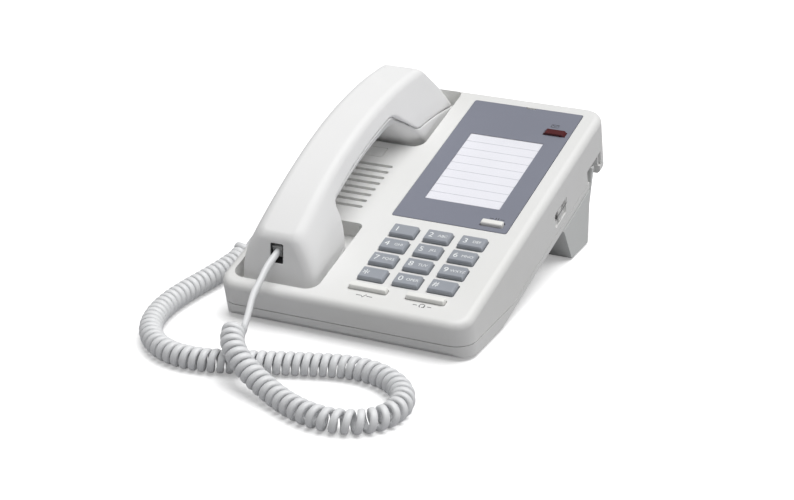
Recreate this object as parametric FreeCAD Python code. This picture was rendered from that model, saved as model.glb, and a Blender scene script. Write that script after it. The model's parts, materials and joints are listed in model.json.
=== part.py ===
import FreeCAD, Part
import math
import os

# A corded desk telephone. Millimetres, +Z up, X to the right, Y to the back.
# The origin is on the table, under the middle of the base.
# The deck is tilted, so most pieces are drawn in the deck's own frame and seated at the end:
# u to the right from the middle, v back along the deck from its front edge, w square out of the deck.

V = FreeCAD.Vector

# Base case
case_width = 145.0
case_height = 34.5
edge_round = 4.5
corner_round = 11.0
deck_tilt = 14.2
deck_front_height = 24.0
foot_height = 2.0
front_chamfer = 3.0
bottom_chamfer = 1.6
wall = 2.6
parting_front = 9.5
parting_height = 5.5
parting_gap = 0.4
tongue_wall = 1.3
tongue_height = 2.4

# Clearances, and how far a cutting shape reaches past a face
fit_gap = 0.3
key_gap = 0.4
slide_gap = 0.25
cut_over = 1.0
touch = 0.01

# Cradle for the handset
cradle_margin = 5.65
cup_side_gap = 1.75
cup_front_gap = 5.5
cup_rear_gap = 4.0
cup_depth = 10.0
cup_wall = 2.2
cup_round = 7.5
front_cup_start = 2.5
front_cup_length = 61.0
rear_cup_length = 62.5
rear_cup_margin = 3.2

# Speaker slots between the cups
slot_count = 8
slot_pitch = 5.84
slot_width = 2.4
slot_length = 34.5
slot_shift = 3.26

# Face panel, card and lamp
panel_width = 67.4
panel_margin = 10.6
panel_rear_margin = 9.6
keys_to_panel = 9.21
panel_thick = 1.2
panel_round = 1.2
panel_stand = 0.2
pry_notch_shift = 1.7
pry_notch_width = 6.0
pry_notch_depth = 1.6
pry_notch_round = 0.8
card_width = 44.4
card_length = 67.8
card_shift = 0.4
card_front_margin = 20.2
card_thick = 0.3
card_round = 0.5
window_thick = 0.5
lamp_margin = 2.6
lamp_setback = 22.6
lamp_width = 13.3
lamp_length = 4.8
lamp_stand = 1.4
lamp_round = 0.4
lamp_sill = 0.6
led_radius = 1.5

# Keys and buttons
key_columns = 3
key_rows = 4
key_pitch_u = 20.0
key_pitch_v = 13.5
keypad_shift = 0.2
bar_to_keys = 4.29
key_width = 14.8
key_length = 9.6
key_stand = 3.4
key_bevel = 1.1
key_round = 0.8
key_flange = 1.0
key_flange_thick = 1.2
key_travel = 1.5
bar_width = 21.7
bar_length = 4.2
bar_stand = 2.4
bar_bevel = 0.55
bar_v = 11.8
bar_apart = 11.1
bar_shift = 1.25
hold_margin = 3.95
hold_setback = 6.3
hold_width = 12.8
hold_length = 4.4
hold_stand = 2.0

# Main board and what it carries
board_thick = 1.6
board_cup_gap = 4.15
board_boss_gap = 1.3
board_front_v = 4.0
board_rear_margin = 9.2
board_round = 2.0
post_radius = 3.5
board_screw_radius = 1.2
board_screw_head = 2.4
board_screw_head_thick = 1.4
board_screw_bite = 4.0
mat_thick = 0.8
mat_rim = 4.4
dome_radius = 3.6
dome_height = 1.3
hold_switch_size = 6.0
hold_pin_radius = 1.6
hold_pin_stand = 0.5

# Hook switch
plunger_setback = 12.5
plunger_width = 11.0
plunger_length = 6.0
plunger_round = 1.0
plunger_travel = 4.0
plunger_stop = 2.0
plunger_stop_thick = 1.5
plunger_tip_step = 1.0
plunger_tip_length = 4.0
hook_post_thick = 3.0
hook_switch_width = 18.0
hook_switch_length = 6.5
hook_switch_height = 10.0
hook_floor_gap = 3.4
hook_leaf_width = 6.0
hook_leaf_thick = 0.4

# Ringer speaker
speaker_radius = 19.0
speaker_rim = 3.0
speaker_rim_thick = 2.4
speaker_dish = 0.8
basket_depth = 7.5
basket_step = 1.0
speaker_height = 14.0
magnet_radius = 11.0

# Volume slider on the right wall
volume_setback = 34.0
volume_rise = 11.9
volume_travel = 4.0
volume_slot_width = 4.0
volume_knob_length = 6.0
volume_knob_width = 6.5
volume_recess = 1.2
volume_rim = 1.5
volume_pad_thick = 1.6
volume_switch_length = 22.0
volume_switch_depth = 6.0
volume_switch_drop = 4.0
volume_foot = 3.0
grip_groove = 0.8
grip_groove_depth = 0.5

# Jacks and plugs
line_jack_u = 34.0
line_jack_width = 13.0
line_jack_height = 10.6
line_jack_length = 13.0
line_socket_width = 10.0
line_socket_height = 7.0
line_socket_depth = 9.0
line_key_width = 4.0
line_key_depth = 1.2
cord_jack_v = 80.0
cord_jack_rise = 5.9
cord_jack_size = 11.0
cord_jack_depth = 12.0
jack_round = 0.6
plug_width = 7.7
plug_height = 6.6
plug_length = 12.0
plug_stand = 3.0
plug_round = 0.5
latch_width = 3.0
latch_thick = 0.2

# Case screws
screw_front_v = 30.0
screw_rear_setback = 45.2
screw_left_inset = 12.5
screw_right_inset = 9.0
boss_radius = 4.2
screw_radius = 1.5
screw_head_radius = 3.0
screw_head_thick = 2.0
screw_length = 14.0
screw_drive = 3.2
screw_drive_width = 0.9
thread_depth = 0.25
thread_gap = 0.05

# Desk stand, measured along the table from the back of the base
stand_setback = 58.9
stand_depth = 26.8
stand_lean = 14.8
stand_rear_rise = 25.0
stand_rear_round = 12.0
stand_edge_round = 1.0
hook_lean = 5.4
stand_wall = 2.5
stand_rib_count = 4
stand_pad = 1.0
channel_width = 17.5
channel_depth = 11.5
hook_thick = 3.0
clip_setback = 16.8
clip_u = 45.0
clip_width = 12.0
clip_thick = 2.4
clip_height = 5.0

# Rubber feet
foot_radius = 6.5
foot_round = 0.7
foot_sink = 0.8
foot_u = 56.0
foot_y = 26.0
pad_width = 16.0
pad_length = 12.0
pad_sink = 0.6

# Hanger tab in front of the rear cup
tab_width = 13.0
tab_length = 9.0
tab_depth = 6.0
tab_flange = 0.9
tab_round = 0.8
tab_gap_v = 3.5

# Handset, in the deck's frame when it lies in its cups
handset_length = 194.0
handset_half = 23.5
grip_top_half = 12.5
facet_depth = 27.2
crease_round = 3.5
top_front_setback = 8.0
top_front_w = 22.5
top_rear_setback = 21.0
top_rear_w = 29.4
top_rise = 13.1
handset_sink = 9.5
handset_wall = 2.3
handset_corner = 8.0
end_round = 2.2
front_lean = 0.305
rear_lean = 0.56
grip_facet_depth = 10.0
grip_depth = 21.0
belly_half = 10.0
mouth_length = 38.0
ear_length = 52.0
mouth_leg = 5.0
ear_leg = 20.0
leg_spread = 2.0
seam_gap = 0.3
ear_setback = 26.0
mouth_setback = 19.0
receiver_radius = 16.0
receiver_step = 4.8
receiver_height = 9.0
receiver_rim = 5.4
mic_radius = 5.0
mic_boot = 1.5
mic_height = 6.0
mic_boot_height = 3.6
ear_dish_radius = 17.0
ear_dish_width = 2.0
ear_dish_depth = 0.9
sound_hole_radius = 1.1
ear_ring_radius = 7.5
ear_hole_count = 8
mouth_hole_count = 5
mouth_hole_pitch = 4.0
weight_length = 46.0
weight_height = 6.0
weight_round = 0.8
jack_w = 12.5
jack_pocket_width = 8.4
jack_pocket_height = 11.0
jack_pocket_round = 0.8
jack_frame = 11.0
handset_jack_width = 12.0
handset_jack_height = 13.5
handset_jack_length = 15.0
jack_inset = 9.0
grip_screw_gap = 9.0
grip_screw_sink = 2.4
grip_screw_radius = 1.3
grip_screw_head = 2.4
grip_screw_head_thick = 1.6
grip_screw_bite = 7.0
grip_boss = 3.2
grip_post = 4.0
grip_post_height = 5.0

# Cord
wire = 3.5
coil_outer = 12.6
curl_pitch = 4.75
loop_pitch = 5.6
loop_from = 35.0
loop_to = 195.0
loop_blend = 25.0
coil_lift = 0.2
coil_run_in = 5.2
half_turn_points = 8

# What follows from the driving sizes: the tilted frame and the base
tilt = math.radians(deck_tilt)
ct = math.cos(tilt)
st = math.sin(tilt)
half = case_width / 2
handset_front_v = front_cup_start + cup_front_gap
handset_rear_v = handset_front_v + handset_length
deck_length = handset_rear_v + cup_rear_gap + rear_cup_margin
front_v = -edge_round
rear_v = deck_length
base_front = edge_round * st - edge_round
base_rear = rear_v * ct + case_height * st
y0 = -(base_front + base_rear) / 2
z0 = deck_front_height
front_y = y0 + base_front
rear_y = y0 + base_rear
floor_w = -case_height + wall
volume_w = floor_w + volume_rise
cord_jack_w = floor_w + cord_jack_rise + cord_jack_size / 2

# Cradle and slots
cradle_width = 2 * handset_half + 2 * cup_side_gap
cradle_u = -half + cradle_margin + cradle_width / 2
cup_floor = -cup_depth
cup_under = cup_floor - cup_wall
rear_cup_start = deck_length - rear_cup_margin - rear_cup_length
slot_middle_v = (front_cup_start + front_cup_length + rear_cup_start) / 2 - slot_shift
slot_first_v = slot_middle_v - (slot_count - 1) * slot_pitch / 2

# Keys, panel and board
panel_u = half - panel_margin - panel_width / 2
panel_right = half - panel_margin
keypad_u = panel_u + keypad_shift
keypad_half = (key_rows - 1) * key_pitch_v / 2 + key_length / 2
keypad_v = bar_v + bar_length / 2 + bar_to_keys + keypad_half
panel_front_v = keypad_v + keypad_half + keys_to_panel
panel_rear_v = deck_length - panel_rear_margin
panel_length = panel_rear_v - panel_front_v
pry_notch_u = panel_u + pry_notch_shift
card_u = panel_u - card_shift
card_front_v = panel_front_v + card_front_margin
lamp_u = panel_right - lamp_margin - lamp_width / 2
lamp_v = panel_rear_v - lamp_setback
hold_u = panel_right - hold_margin - hold_width / 2
hold_v = panel_front_v + hold_setback
bars_u = keypad_u - bar_shift
flash_u = bars_u - bar_apart / 2 - bar_width / 2
redial_u = bars_u + bar_apart / 2 + bar_width / 2
key_bottom = -wall - fit_gap - key_flange_thick
dome_top = key_bottom - key_travel - fit_gap
board_w = dome_top - dome_height - mat_thick
board_low = board_w - board_thick
screw_left_u = -half + screw_left_inset
screw_right_u = half - screw_right_inset
screw_rear_v = deck_length - screw_rear_setback
board_left = cradle_u + cradle_width / 2 + cup_wall + board_cup_gap
board_right = screw_right_u - boss_radius - board_boss_gap
board_rear_v = deck_length - board_rear_margin
keypad_rear_v = keypad_v + key_rows * key_pitch_v / 2

# Hook switch, volume slider and stand
plunger_v = rear_cup_start + plunger_setback
leaf_top = floor_w + hook_floor_gap + hook_switch_height / 2
plunger_low = leaf_top + fit_gap
volume_v = screw_rear_v - volume_setback
volume_run = volume_knob_length + 2 * volume_travel
volume_inner = half - wall - volume_pad_thick
channel_rear_v = rear_v - line_jack_length - cup_wall - fit_gap
channel_front_v = channel_rear_v - channel_width
stand_front_y = rear_y - stand_setback
stand_top_y = stand_front_y - stand_lean
clip_v = (stand_top_y - y0 - case_height * st) / ct + clip_setback

# Handset
top_front_v = handset_front_v + top_front_setback
top_rear_v = handset_rear_v - top_rear_setback
flare = math.atan((handset_half - grip_top_half) / facet_depth)
mouth_inner_v = handset_front_v + mouth_length
ear_inner_v = handset_rear_v - ear_length
grip_middle_v = (mouth_inner_v + ear_inner_v) / 2
ear_v = handset_rear_v - ear_setback
mouth_v = handset_front_v + mouth_setback
weight_width = 2 * (belly_half - handset_wall)
jack_front_v = handset_front_v + jack_inset
plug_front_v = jack_front_v - plug_stand


def seat(shape):
    """Turns a shape drawn in the deck's frame to its place above the table."""
    shape.rotate(V(0, 0, 0), V(1, 0, 0), deck_tilt)
    shape.translate(V(0, y0, z0))
    return shape


def to_deck(y, z):
    """A point of the side view, given above the table, in the deck's frame."""
    return (y - y0) * ct + (z - z0) * st, (z - z0) * ct - (y - y0) * st


def to_room(u, v, w):
    """A point of the deck's frame, above the table."""
    return V(u, y0 + v * ct - w * st, z0 + v * st + w * ct)


def rounded_face(corners, place):
    """A flat face whose corners (a, b, radius) are rounded by tangent arcs."""
    edges = []
    ends = []
    count = len(corners)
    for i in range(count):
        here = place(corners[i][0], corners[i][1])
        before = place(corners[i - 1][0], corners[i - 1][1])
        after = place(corners[(i + 1) % count][0], corners[(i + 1) % count][1])
        radius = corners[i][2]
        if radius <= 0:
            ends.append((here, here))
            continue
        back = (before - here).normalize()
        ahead = (after - here).normalize()
        opening = back.getAngle(ahead)
        reach = radius / math.tan(opening / 2)
        bisector = (back + ahead).normalize()
        middle = here + bisector * (radius / math.sin(opening / 2) - radius)
        start = here + back * reach
        end = here + ahead * reach
        edges.append((i, Part.Arc(start, middle, end).toShape()))
        ends.append((start, end))
    arcs = dict(edges)
    loop = []
    for i in range(count):
        if i in arcs:
            loop.append(arcs[i])
        start = ends[i][1]
        end = ends[(i + 1) % count][0]
        if start.distanceToPoint(end) > 1e-6:
            loop.append(Part.makeLine(start, end))
    return Part.Face(Part.Wire(loop))


def plate(corners, low, high):
    """A prism square to the deck: its outline in u and v, from w low to w high."""
    return rounded_face(corners, lambda a, b: V(a, b, low)).extrude(V(0, 0, high - low))


def side(corners, left, right):
    """A prism across the part: its outline in v and w, from u left to u right."""
    return rounded_face(corners, lambda a, b: V(left, a, b)).extrude(V(right - left, 0, 0))


def along(corners, front, rear):
    """A prism along the deck: its outline in u and w, from v front to v rear."""
    return rounded_face(corners, lambda a, b: V(a, front, b)).extrude(V(0, rear - front, 0))


def oblong(a, b, size_a, size_b, radius=0.0):
    """The corners of a rectangle about a, b."""
    low_a = a - size_a / 2
    high_a = a + size_a / 2
    low_b = b - size_b / 2
    high_b = b + size_b / 2
    corners = [(low_a, low_b), (high_a, low_b), (high_a, high_b), (low_a, high_b)]
    return [(corner_a, corner_b, radius) for corner_a, corner_b in corners]


def cylinder(u, v, low, high, radius):
    """A round post square to the deck."""
    return Part.makeCylinder(radius, high - low, V(u, v, low))


def inset(corners, depth):
    """An outline moved inwards by depth; its corners run anticlockwise."""
    lines = []
    count = len(corners)
    for i in range(count):
        a = V(corners[i][0], corners[i][1], 0)
        b = V(corners[(i + 1) % count][0], corners[(i + 1) % count][1], 0)
        run = (b - a).normalize()
        lines.append((a + V(-run.y, run.x, 0) * depth, run))
    moved = []
    for i in range(count):
        p, d = lines[i - 1]
        q, e = lines[i]
        share = ((q - p).x * e.y - (q - p).y * e.x) / (d.x * e.y - d.y * e.x)
        spot = p + d * share
        moved.append((spot.x, spot.y, max(corners[i][2] - depth, 0.0)))
    return moved


def fused(shapes):
    """One solid of several that overlap."""
    return shapes[0].multiFuse(shapes[1:]).removeSplitter()


# Base case


def case_outline():
    """The side view of the base's lower side: chamfer, flat on the table and tilted underside."""
    beyond = 4 * wall
    bend_v = (foot_height - z0 + case_height * ct) / st
    wall_foot = (foot_height + front_chamfer - z0 - front_v * st) / ct
    wall_foot_y = y0 + front_v * ct - wall_foot * st
    flat_v, flat_w = to_deck(wall_foot_y + front_chamfer, foot_height)
    start_v, start_w = to_deck(wall_foot_y - beyond, foot_height + front_chamfer + beyond)
    return [
        (start_v, start_w, 0), (flat_v, flat_w, 0), (bend_v, -case_height, 0),
        (rear_v + beyond, -case_height, 0), (rear_v + beyond, beyond, 0), (start_v, beyond, 0),
    ]


def case_prism(depth):
    """The base's outline seen square to the deck, moved inwards by depth, as a tall prism."""
    middle_v = (front_v + rear_v) / 2
    plan = oblong(0, middle_v, case_width - 2 * depth, rear_v - front_v - 2 * depth, corner_round - depth)
    return plate(plan, -2 * case_height, -depth)


def case_block(depth):
    """The whole base as one block, moved inwards by depth."""
    return case_prism(depth).common(side(inset(case_outline(), depth), -case_width, case_width))


def case_outside():
    """The base block with its deck edge rounded and its bottom edge broken."""
    block = case_block(0)
    deck_edges = [e for e in block.Edges if e.BoundBox.ZMin > -touch]
    block = block.makeFillet(edge_round, deck_edges)
    low = [e for e in block.Edges if e.BoundBox.ZMax < -case_height + touch and e.BoundBox.YLength > wall]
    return block.makeChamfer(bottom_chamfer, low)


def below_parting(rise):
    """Everything below the line where the two halves of the base meet, raised by rise."""
    joint_w = -case_height + parting_height + rise
    joint_v = (parting_front + rise - z0 - joint_w * ct) / st
    reach = 2 * case_width
    start_v, start_w = to_deck(y0 - reach, parting_front + rise)
    deep = -reach
    outline = [
        (start_v, start_w, 0), (start_v, deep, 0), (rear_v + reach, deep, 0),
        (rear_v + reach, joint_w, 0), (joint_v, joint_w, 0),
    ]
    return side(outline, -reach, reach)


def cup(depth):
    """Both handset cups as solids, grown by depth."""
    solids = []
    for start, length in ((front_cup_start, front_cup_length), (rear_cup_start, rear_cup_length)):
        width = cradle_width + 2 * depth
        plan = oblong(cradle_u, start + length / 2, width, length + 2 * depth, cup_round + depth)
        solids.append(plate(plan, cup_floor - depth, cut_over))
    return solids


def key_places():
    """Each key's name with the middle of its place on the deck."""
    names = ("1", "2", "3", "4", "5", "6", "7", "8", "9", "star", "0", "hash")
    places = []
    for i, name in enumerate(names):
        u = keypad_u + (i % key_columns - (key_columns - 1) / 2) * key_pitch_u
        v = keypad_v + ((key_rows - 1) / 2 - i // key_columns) * key_pitch_v
        places.append(("key_" + name, u, v))
    return places


def bar_places():
    """The two bars in front of the keys."""
    return [("flash_button", flash_u, bar_v), ("redial_button", redial_u, bar_v)]


def post_places():
    """The posts that carry the main board."""
    left = board_left + post_radius
    right = board_right - post_radius
    middle = keypad_rear_v + post_radius
    rear = board_rear_v - 2 * post_radius
    return [(bars_u, bar_v - bar_length / 2), (left, middle), (right, middle), (left, rear), (right, rear)]


def screw_places():
    """The four screws that hold the halves of the base together."""
    return [(u, v) for u in (screw_left_u, screw_right_u) for v in (screw_front_v, screw_rear_v)]


def underside_w(v):
    """Height of the inside floor of the base at v, in the deck's frame."""
    flat = (foot_height + wall - z0 - v * st) / ct
    return max(floor_w, flat)


def boss_top(u):
    """Where a screw boss hangs from: the deck, or the underside of a cup."""
    if abs(u - cradle_u) > cradle_width / 2:
        return -wall
    return cup_under


def boss_foot(v):
    """Where the bosses of the two halves of the base meet."""
    return underside_w(v) + 2 * wall


def screw_reach(u, v):
    """How high a case screw's hole goes."""
    return min(boss_foot(v) + screw_length, boss_top(u))


def channel(depth):
    """The cable channel across the back of the underside, grown by depth."""
    middle = channel_front_v + channel_width / 2
    high = -case_height + channel_depth + depth
    outline = oblong(middle, high - case_height / 2, channel_width + 2 * depth, case_height)
    return side(outline, -half - cut_over, half + cut_over)


def volume_slot():
    """The slot of the volume slider with the shallow recess round it."""
    size_v = volume_run + 2 * volume_rim
    size_w = volume_knob_width + 2 * volume_rim
    rim = oblong(volume_v, volume_w, size_v, size_w, volume_rim)
    recess = side(rim, half - volume_recess, half + cut_over)
    opening = oblong(volume_v, volume_w, volume_run + 2 * slide_gap, volume_slot_width)
    return recess.fuse(side(opening, volume_inner - cut_over, half + cut_over))


def volume_pad():
    """The thicker stretch of wall behind the volume recess."""
    size_v = volume_run + 2 * volume_rim + wall
    size_w = volume_knob_width + 2 * volume_rim + wall
    return side(oblong(volume_v, volume_w, size_v, size_w), volume_inner, half - wall)


def cord_jack_hole():
    """The hole in the left wall for the handset cord's plug."""
    outline = oblong(cord_jack_v, cord_jack_w, plug_width + 2 * fit_gap, plug_height + 2 * fit_gap)
    return side(outline, -half - cut_over, -half + wall + cut_over)


def line_jack_mouth():
    """The window in the rear wall that the line jack fills."""
    width = line_jack_width + 2 * fit_gap
    outline = oblong(line_jack_u, line_jack_middle(), width, line_jack_height + 2 * fit_gap)
    return along(outline, rear_v - wall - cut_over, rear_v + cut_over)


def line_jack_middle():
    """Height of the line jack, hanging from the main board."""
    return board_low - line_jack_height / 2


def deck_openings():
    """Slots, key openings and the panel's recess, as cutting shapes through the deck."""
    deep = -2 * wall
    cuts = []
    for i in range(slot_count):
        slot_v = slot_first_v + i * slot_pitch
        plan = oblong(cradle_u, slot_v, slot_length, slot_width, slot_width / 2 - touch)
        cuts.append(plate(plan, deep, cut_over))
    for name, u, v in key_places():
        plan = oblong(u, v, key_width + 2 * key_gap, key_length + 2 * key_gap, key_round + key_gap)
        cuts.append(plate(plan, deep, cut_over))
    for name, u, v in bar_places():
        plan = oblong(u, v, bar_width + 2 * key_gap, bar_length + 2 * key_gap, key_round + key_gap)
        cuts.append(plate(plan, deep, cut_over))
    cuts.append(plate(panel_plan(fit_gap), panel_stand - panel_thick, cut_over))
    hold = oblong(hold_u, hold_v, hold_width + 2 * key_gap, hold_length + 2 * key_gap)
    cuts.append(plate(hold, deep, cut_over))
    lamp = oblong(lamp_u, lamp_v, lamp_width - 2 * lamp_sill, lamp_length - 2 * lamp_sill)
    cuts.append(plate(lamp, deep, cut_over))
    cuts.append(plate(tab_plan(slide_gap, 0), deep, cut_over))
    cuts.append(plate(tab_plan(slide_gap, tab_flange), -tab_flange - slide_gap, cut_over))
    return cuts


def hook_post():
    """The post under the rear cup that carries the hook switch."""
    front = plunger_v + plunger_length / 2 + hook_switch_length + 2 * fit_gap
    low = floor_w + hook_floor_gap
    outline = oblong(front + hook_post_thick / 2, (low + cup_floor) / 2, hook_post_thick, cup_floor - low)
    return side(outline, cradle_u - hook_switch_width / 2, cradle_u + hook_switch_width / 2)


def upper_case():
    """The deck shell: cups, slots, openings for every key, and the posts below it."""
    body = [case_outside().cut(below_parting(parting_gap / 2)).cut(case_block(wall))]
    inside = case_block(wall / 2)
    body += [grown.common(inside) for grown in cup(cup_wall)]
    body += [cylinder(u, v, board_w, -wall / 2, post_radius) for u, v in post_places()]
    for u, v in screw_places():
        body.append(cylinder(u, v, boss_foot(v) + fit_gap, boss_top(u) + wall / 2, boss_radius))
    body += [hook_post(), volume_pad()]
    cuts = cup(0) + deck_openings()
    ease = 2 * slide_gap
    plunger_hole = oblong(cradle_u, plunger_v, plunger_width + ease, plunger_length + ease, plunger_round)
    cuts.append(plate(plunger_hole, cup_under - cut_over, cup_floor + cut_over))
    cuts += [channel(cup_wall + fit_gap), volume_slot(), cord_jack_hole(), line_jack_mouth()]
    pilot = screw_radius - thread_depth + thread_gap
    cuts += [cylinder(u, v, boss_foot(v), screw_reach(u, v), pilot) for u, v in screw_places()]
    pilot = board_screw_radius - thread_depth + thread_gap
    cuts += [cylinder(u, v, board_w - cut_over, board_w + board_screw_bite, pilot) for u, v in post_places()]
    return fused(body).cut(cuts[0].multiFuse(cuts[1:]))


def lower_case():
    """The tray: floor, tongue inside the parting line, screw wells and the cable channel's lining."""
    shell = case_outside().common(below_parting(-parting_gap / 2)).cut(case_block(wall))
    inner = case_prism(wall + tongue_wall)
    root = case_prism(wall - touch).cut(inner).common(below_parting(-parting_gap / 2))
    tongue = case_prism(wall + fit_gap / 2).cut(inner).common(below_parting(tongue_height))
    rim = root.fuse(tongue).cut(below_parting(-tongue_height))
    body = [shell, rim, channel(cup_wall).common(case_block(wall / 2))]
    cuts = [channel(0), line_jack_mouth()]
    for u, v in screw_places():
        body.append(cylinder(u, v, underside_w(v) - wall / 2, boss_foot(v), boss_radius))
        cuts.append(cylinder(u, v, -2 * case_height, boss_foot(v) + cut_over, screw_radius + fit_gap))
        cuts.append(cylinder(u, v, -2 * case_height, underside_w(v) + wall, screw_head_radius + fit_gap))
    for u in (-clip_u, clip_u):
        slot = oblong(u, clip_v, clip_width + 2 * fit_gap, clip_thick + 2 * fit_gap)
        cuts.append(plate(slot, -2 * case_height, floor_w + cut_over))
    tray = seat(fused(body).cut(cuts[0].multiFuse(cuts[1:])))
    wells = []
    for u in (-foot_u, foot_u):
        foot = V(u, front_y + foot_y, foot_height + foot_sink - case_height)
        wells.append(Part.makeCylinder(foot_radius + fit_gap / 2, case_height, foot))
    return tray.cut(wells[0].fuse(wells[1]))


def case_screws():
    """Four screws with crossed round heads, up through the tray into the bosses."""
    screws = []
    for u, v in screw_places():
        seat_w = underside_w(v) + wall
        low = seat_w - screw_head_thick
        deep = low + screw_drive_width
        head = cylinder(u, v, low, seat_w, screw_head_radius)
        drive = plate(oblong(u, v, screw_drive, screw_drive_width), low - cut_over, deep)
        cross = plate(oblong(u, v, screw_drive_width, screw_drive), low - cut_over, deep)
        shank = cylinder(u, v, seat_w, screw_reach(u, v) - cut_over, screw_radius - thread_depth)
        screws.append(head.fuse(shank).cut(drive.fuse(cross)))
    return Part.Compound(screws)


# Desk stand and feet


def stand_outline():
    """The stand's side view above the table: foot, rear flank up to its hook, top against the base."""
    root_v = channel_front_v + fit_gap
    high = -case_height + channel_depth - fit_gap
    under = -case_height - fit_gap / 2
    foot_rear = stand_front_y + stand_depth
    hook_in = to_room(0, root_v + hook_lean, high)
    hook_out = to_room(0, root_v + hook_lean + hook_thick, high)
    root = to_room(0, root_v, under)
    top_front_z = z0 + (stand_top_y - y0) * math.tan(tilt) + under / ct
    return [
        (stand_front_y, stand_pad, stand_edge_round), (foot_rear, stand_pad, stand_edge_round),
        (foot_rear + fit_gap, stand_rear_rise, stand_rear_round),
        (hook_out.y, hook_out.z, stand_edge_round / 2), (hook_in.y, hook_in.z, stand_edge_round / 2),
        (root.y, root.z, 0), (stand_top_y, top_front_z, 0),
    ]


def stand_pocket():
    """The hollow of the stand, open at the top."""
    outline = stand_outline()
    root = outline[5]
    front_foot = outline[0]
    front_top = outline[6]
    lift = 3 * stand_wall
    lean = (front_top[0] - front_foot[0]) / (front_top[1] - front_foot[1])
    corners = [(p[0], p[1], 0) for p in outline[:3]]
    corners.append((root[0], root[1] + lift, 0))
    corners.append((front_top[0] + lean * lift, front_top[1] + lift, 0))
    return inset(corners, stand_wall)


def desk_stand():
    """The stand: an open-topped wedge with ribs, a rear hook along the channel and two front clips."""
    outer = side(stand_outline(), -half, half)
    pitch = (case_width - stand_wall) / (stand_rib_count + 1)
    for i in range(stand_rib_count + 1):
        left = -half + stand_wall + i * pitch
        outer = outer.cut(side(stand_pocket(), left, left + pitch - stand_wall))
    bodies = [outer]
    wells = []
    for u in (-clip_u, clip_u):
        clip = oblong(u, clip_v, clip_width, clip_thick)
        bodies.append(seat(plate(clip, -case_height - 3 * stand_wall, -case_height + clip_height)))
    for u in (-foot_u, foot_u):
        corner = V(u - pad_width / 2, pad_front(), stand_pad - cut_over)
        wells.append(Part.makeBox(pad_width, pad_length, pad_sink + cut_over, corner))
    return fused(bodies).cut(wells[0].fuse(wells[1]))


def pad_front():
    """Front edge of the stand's rubber pads."""
    return stand_front_y + (stand_depth - pad_length) / 2


def rubber_feet():
    """Two round feet under the front and two pads under the stand."""
    size_u = pad_width - fit_gap
    size_y = pad_length - fit_gap
    feet = []
    for u in (-foot_u, foot_u):
        foot = Part.makeCylinder(foot_radius, foot_height + foot_sink, V(u, front_y + foot_y, 0))
        feet.append(foot.makeFillet(foot_round, [e for e in foot.Edges if e.BoundBox.ZMax < touch]))
        corner = V(u - size_u / 2, pad_front() + fit_gap / 2, 0)
        feet.append(Part.makeBox(size_u, size_y, stand_pad + pad_sink, corner))
    return Part.Compound(feet)


# Panel, card and lamp


def panel_plan(gap):
    """The face panel's outline, grown by gap."""
    middle = panel_front_v + panel_length / 2
    return oblong(panel_u, middle, panel_width + 2 * gap, panel_length + 2 * gap, panel_round + gap)


def card_plan(gap):
    """The card's outline, grown by gap."""
    middle = card_front_v + card_length / 2
    return oblong(card_u, middle, card_width + 2 * gap, card_length + 2 * gap, card_round)


def face_panel():
    """The panel with its card pocket, openings and pry notch."""
    low = panel_stand - panel_thick
    deep = low - cut_over
    panel = plate(panel_plan(0), low, panel_stand)
    pocket = plate(card_plan(fit_gap / 2), panel_stand - card_thick - window_thick, cut_over)
    opening = oblong(hold_u, hold_v, hold_width + 2 * key_gap, hold_length + 2 * key_gap, key_round)
    hold = plate(opening, deep, cut_over)
    lamp = plate(oblong(lamp_u, lamp_v, lamp_width + fit_gap, lamp_length + fit_gap), deep, cut_over)
    notch_plan = oblong(pry_notch_u, panel_rear_v, pry_notch_width, 2 * pry_notch_depth, pry_notch_round)
    return panel.cut(pocket.multiFuse([hold, lamp, plate(notch_plan, deep, cut_over)]))


def directory_card():
    """The paper card in the panel's pocket."""
    return plate(card_plan(0), panel_stand - card_thick - window_thick, panel_stand - window_thick)


def card_window():
    """The clear sheet that keeps the card."""
    return plate(card_plan(0), panel_stand - window_thick, panel_stand)


def message_lamp_lens():
    """The red lens: a bar with bevelled ends on a thin sill."""
    low = panel_stand - panel_thick
    sill = plate(oblong(lamp_u, lamp_v, lamp_width, lamp_length), low, panel_stand)
    top = panel_stand + lamp_stand
    hw = lamp_width / 2
    roof = [(lamp_u - hw, panel_stand, 0), (lamp_u + hw, panel_stand, 0),
            (lamp_u + hw - lamp_stand, top, lamp_round), (lamp_u - hw + lamp_stand, top, lamp_round)]
    return sill.fuse(along(roof, lamp_v - lamp_length / 2, lamp_v + lamp_length / 2)).removeSplitter()


def message_led():
    """The lamp's light source on the board."""
    top = panel_stand - panel_thick - fit_gap
    post = cylinder(lamp_u, lamp_v, board_w, top - led_radius, led_radius)
    dome = Part.makeSphere(led_radius, V(lamp_u, lamp_v, top - led_radius))
    return post.fuse(dome).removeSplitter()


# Keys and buttons


def cap(u, v, width, length, stand, bevel):
    """A key cap: bevelled top, straight skirt through the deck and a flange that keeps it in."""
    shoulder = stand - bevel
    skirt = plate(oblong(u, v, width, length, key_round), key_bottom, shoulder)
    foot = rounded_face(oblong(u, v, width, length, key_round), lambda a, b: V(a, b, shoulder))
    narrow = oblong(u, v, width - 2 * bevel, length - 2 * bevel, key_round)
    crown = rounded_face(narrow, lambda a, b: V(a, b, stand))
    bevelled = Part.makeLoft([foot.OuterWire, crown.OuterWire], True, True)
    plan = oblong(u, v, width + 2 * key_flange, length + 2 * key_flange)
    return fused([skirt, bevelled, plate(plan, key_bottom, key_bottom + key_flange_thick)])


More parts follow.
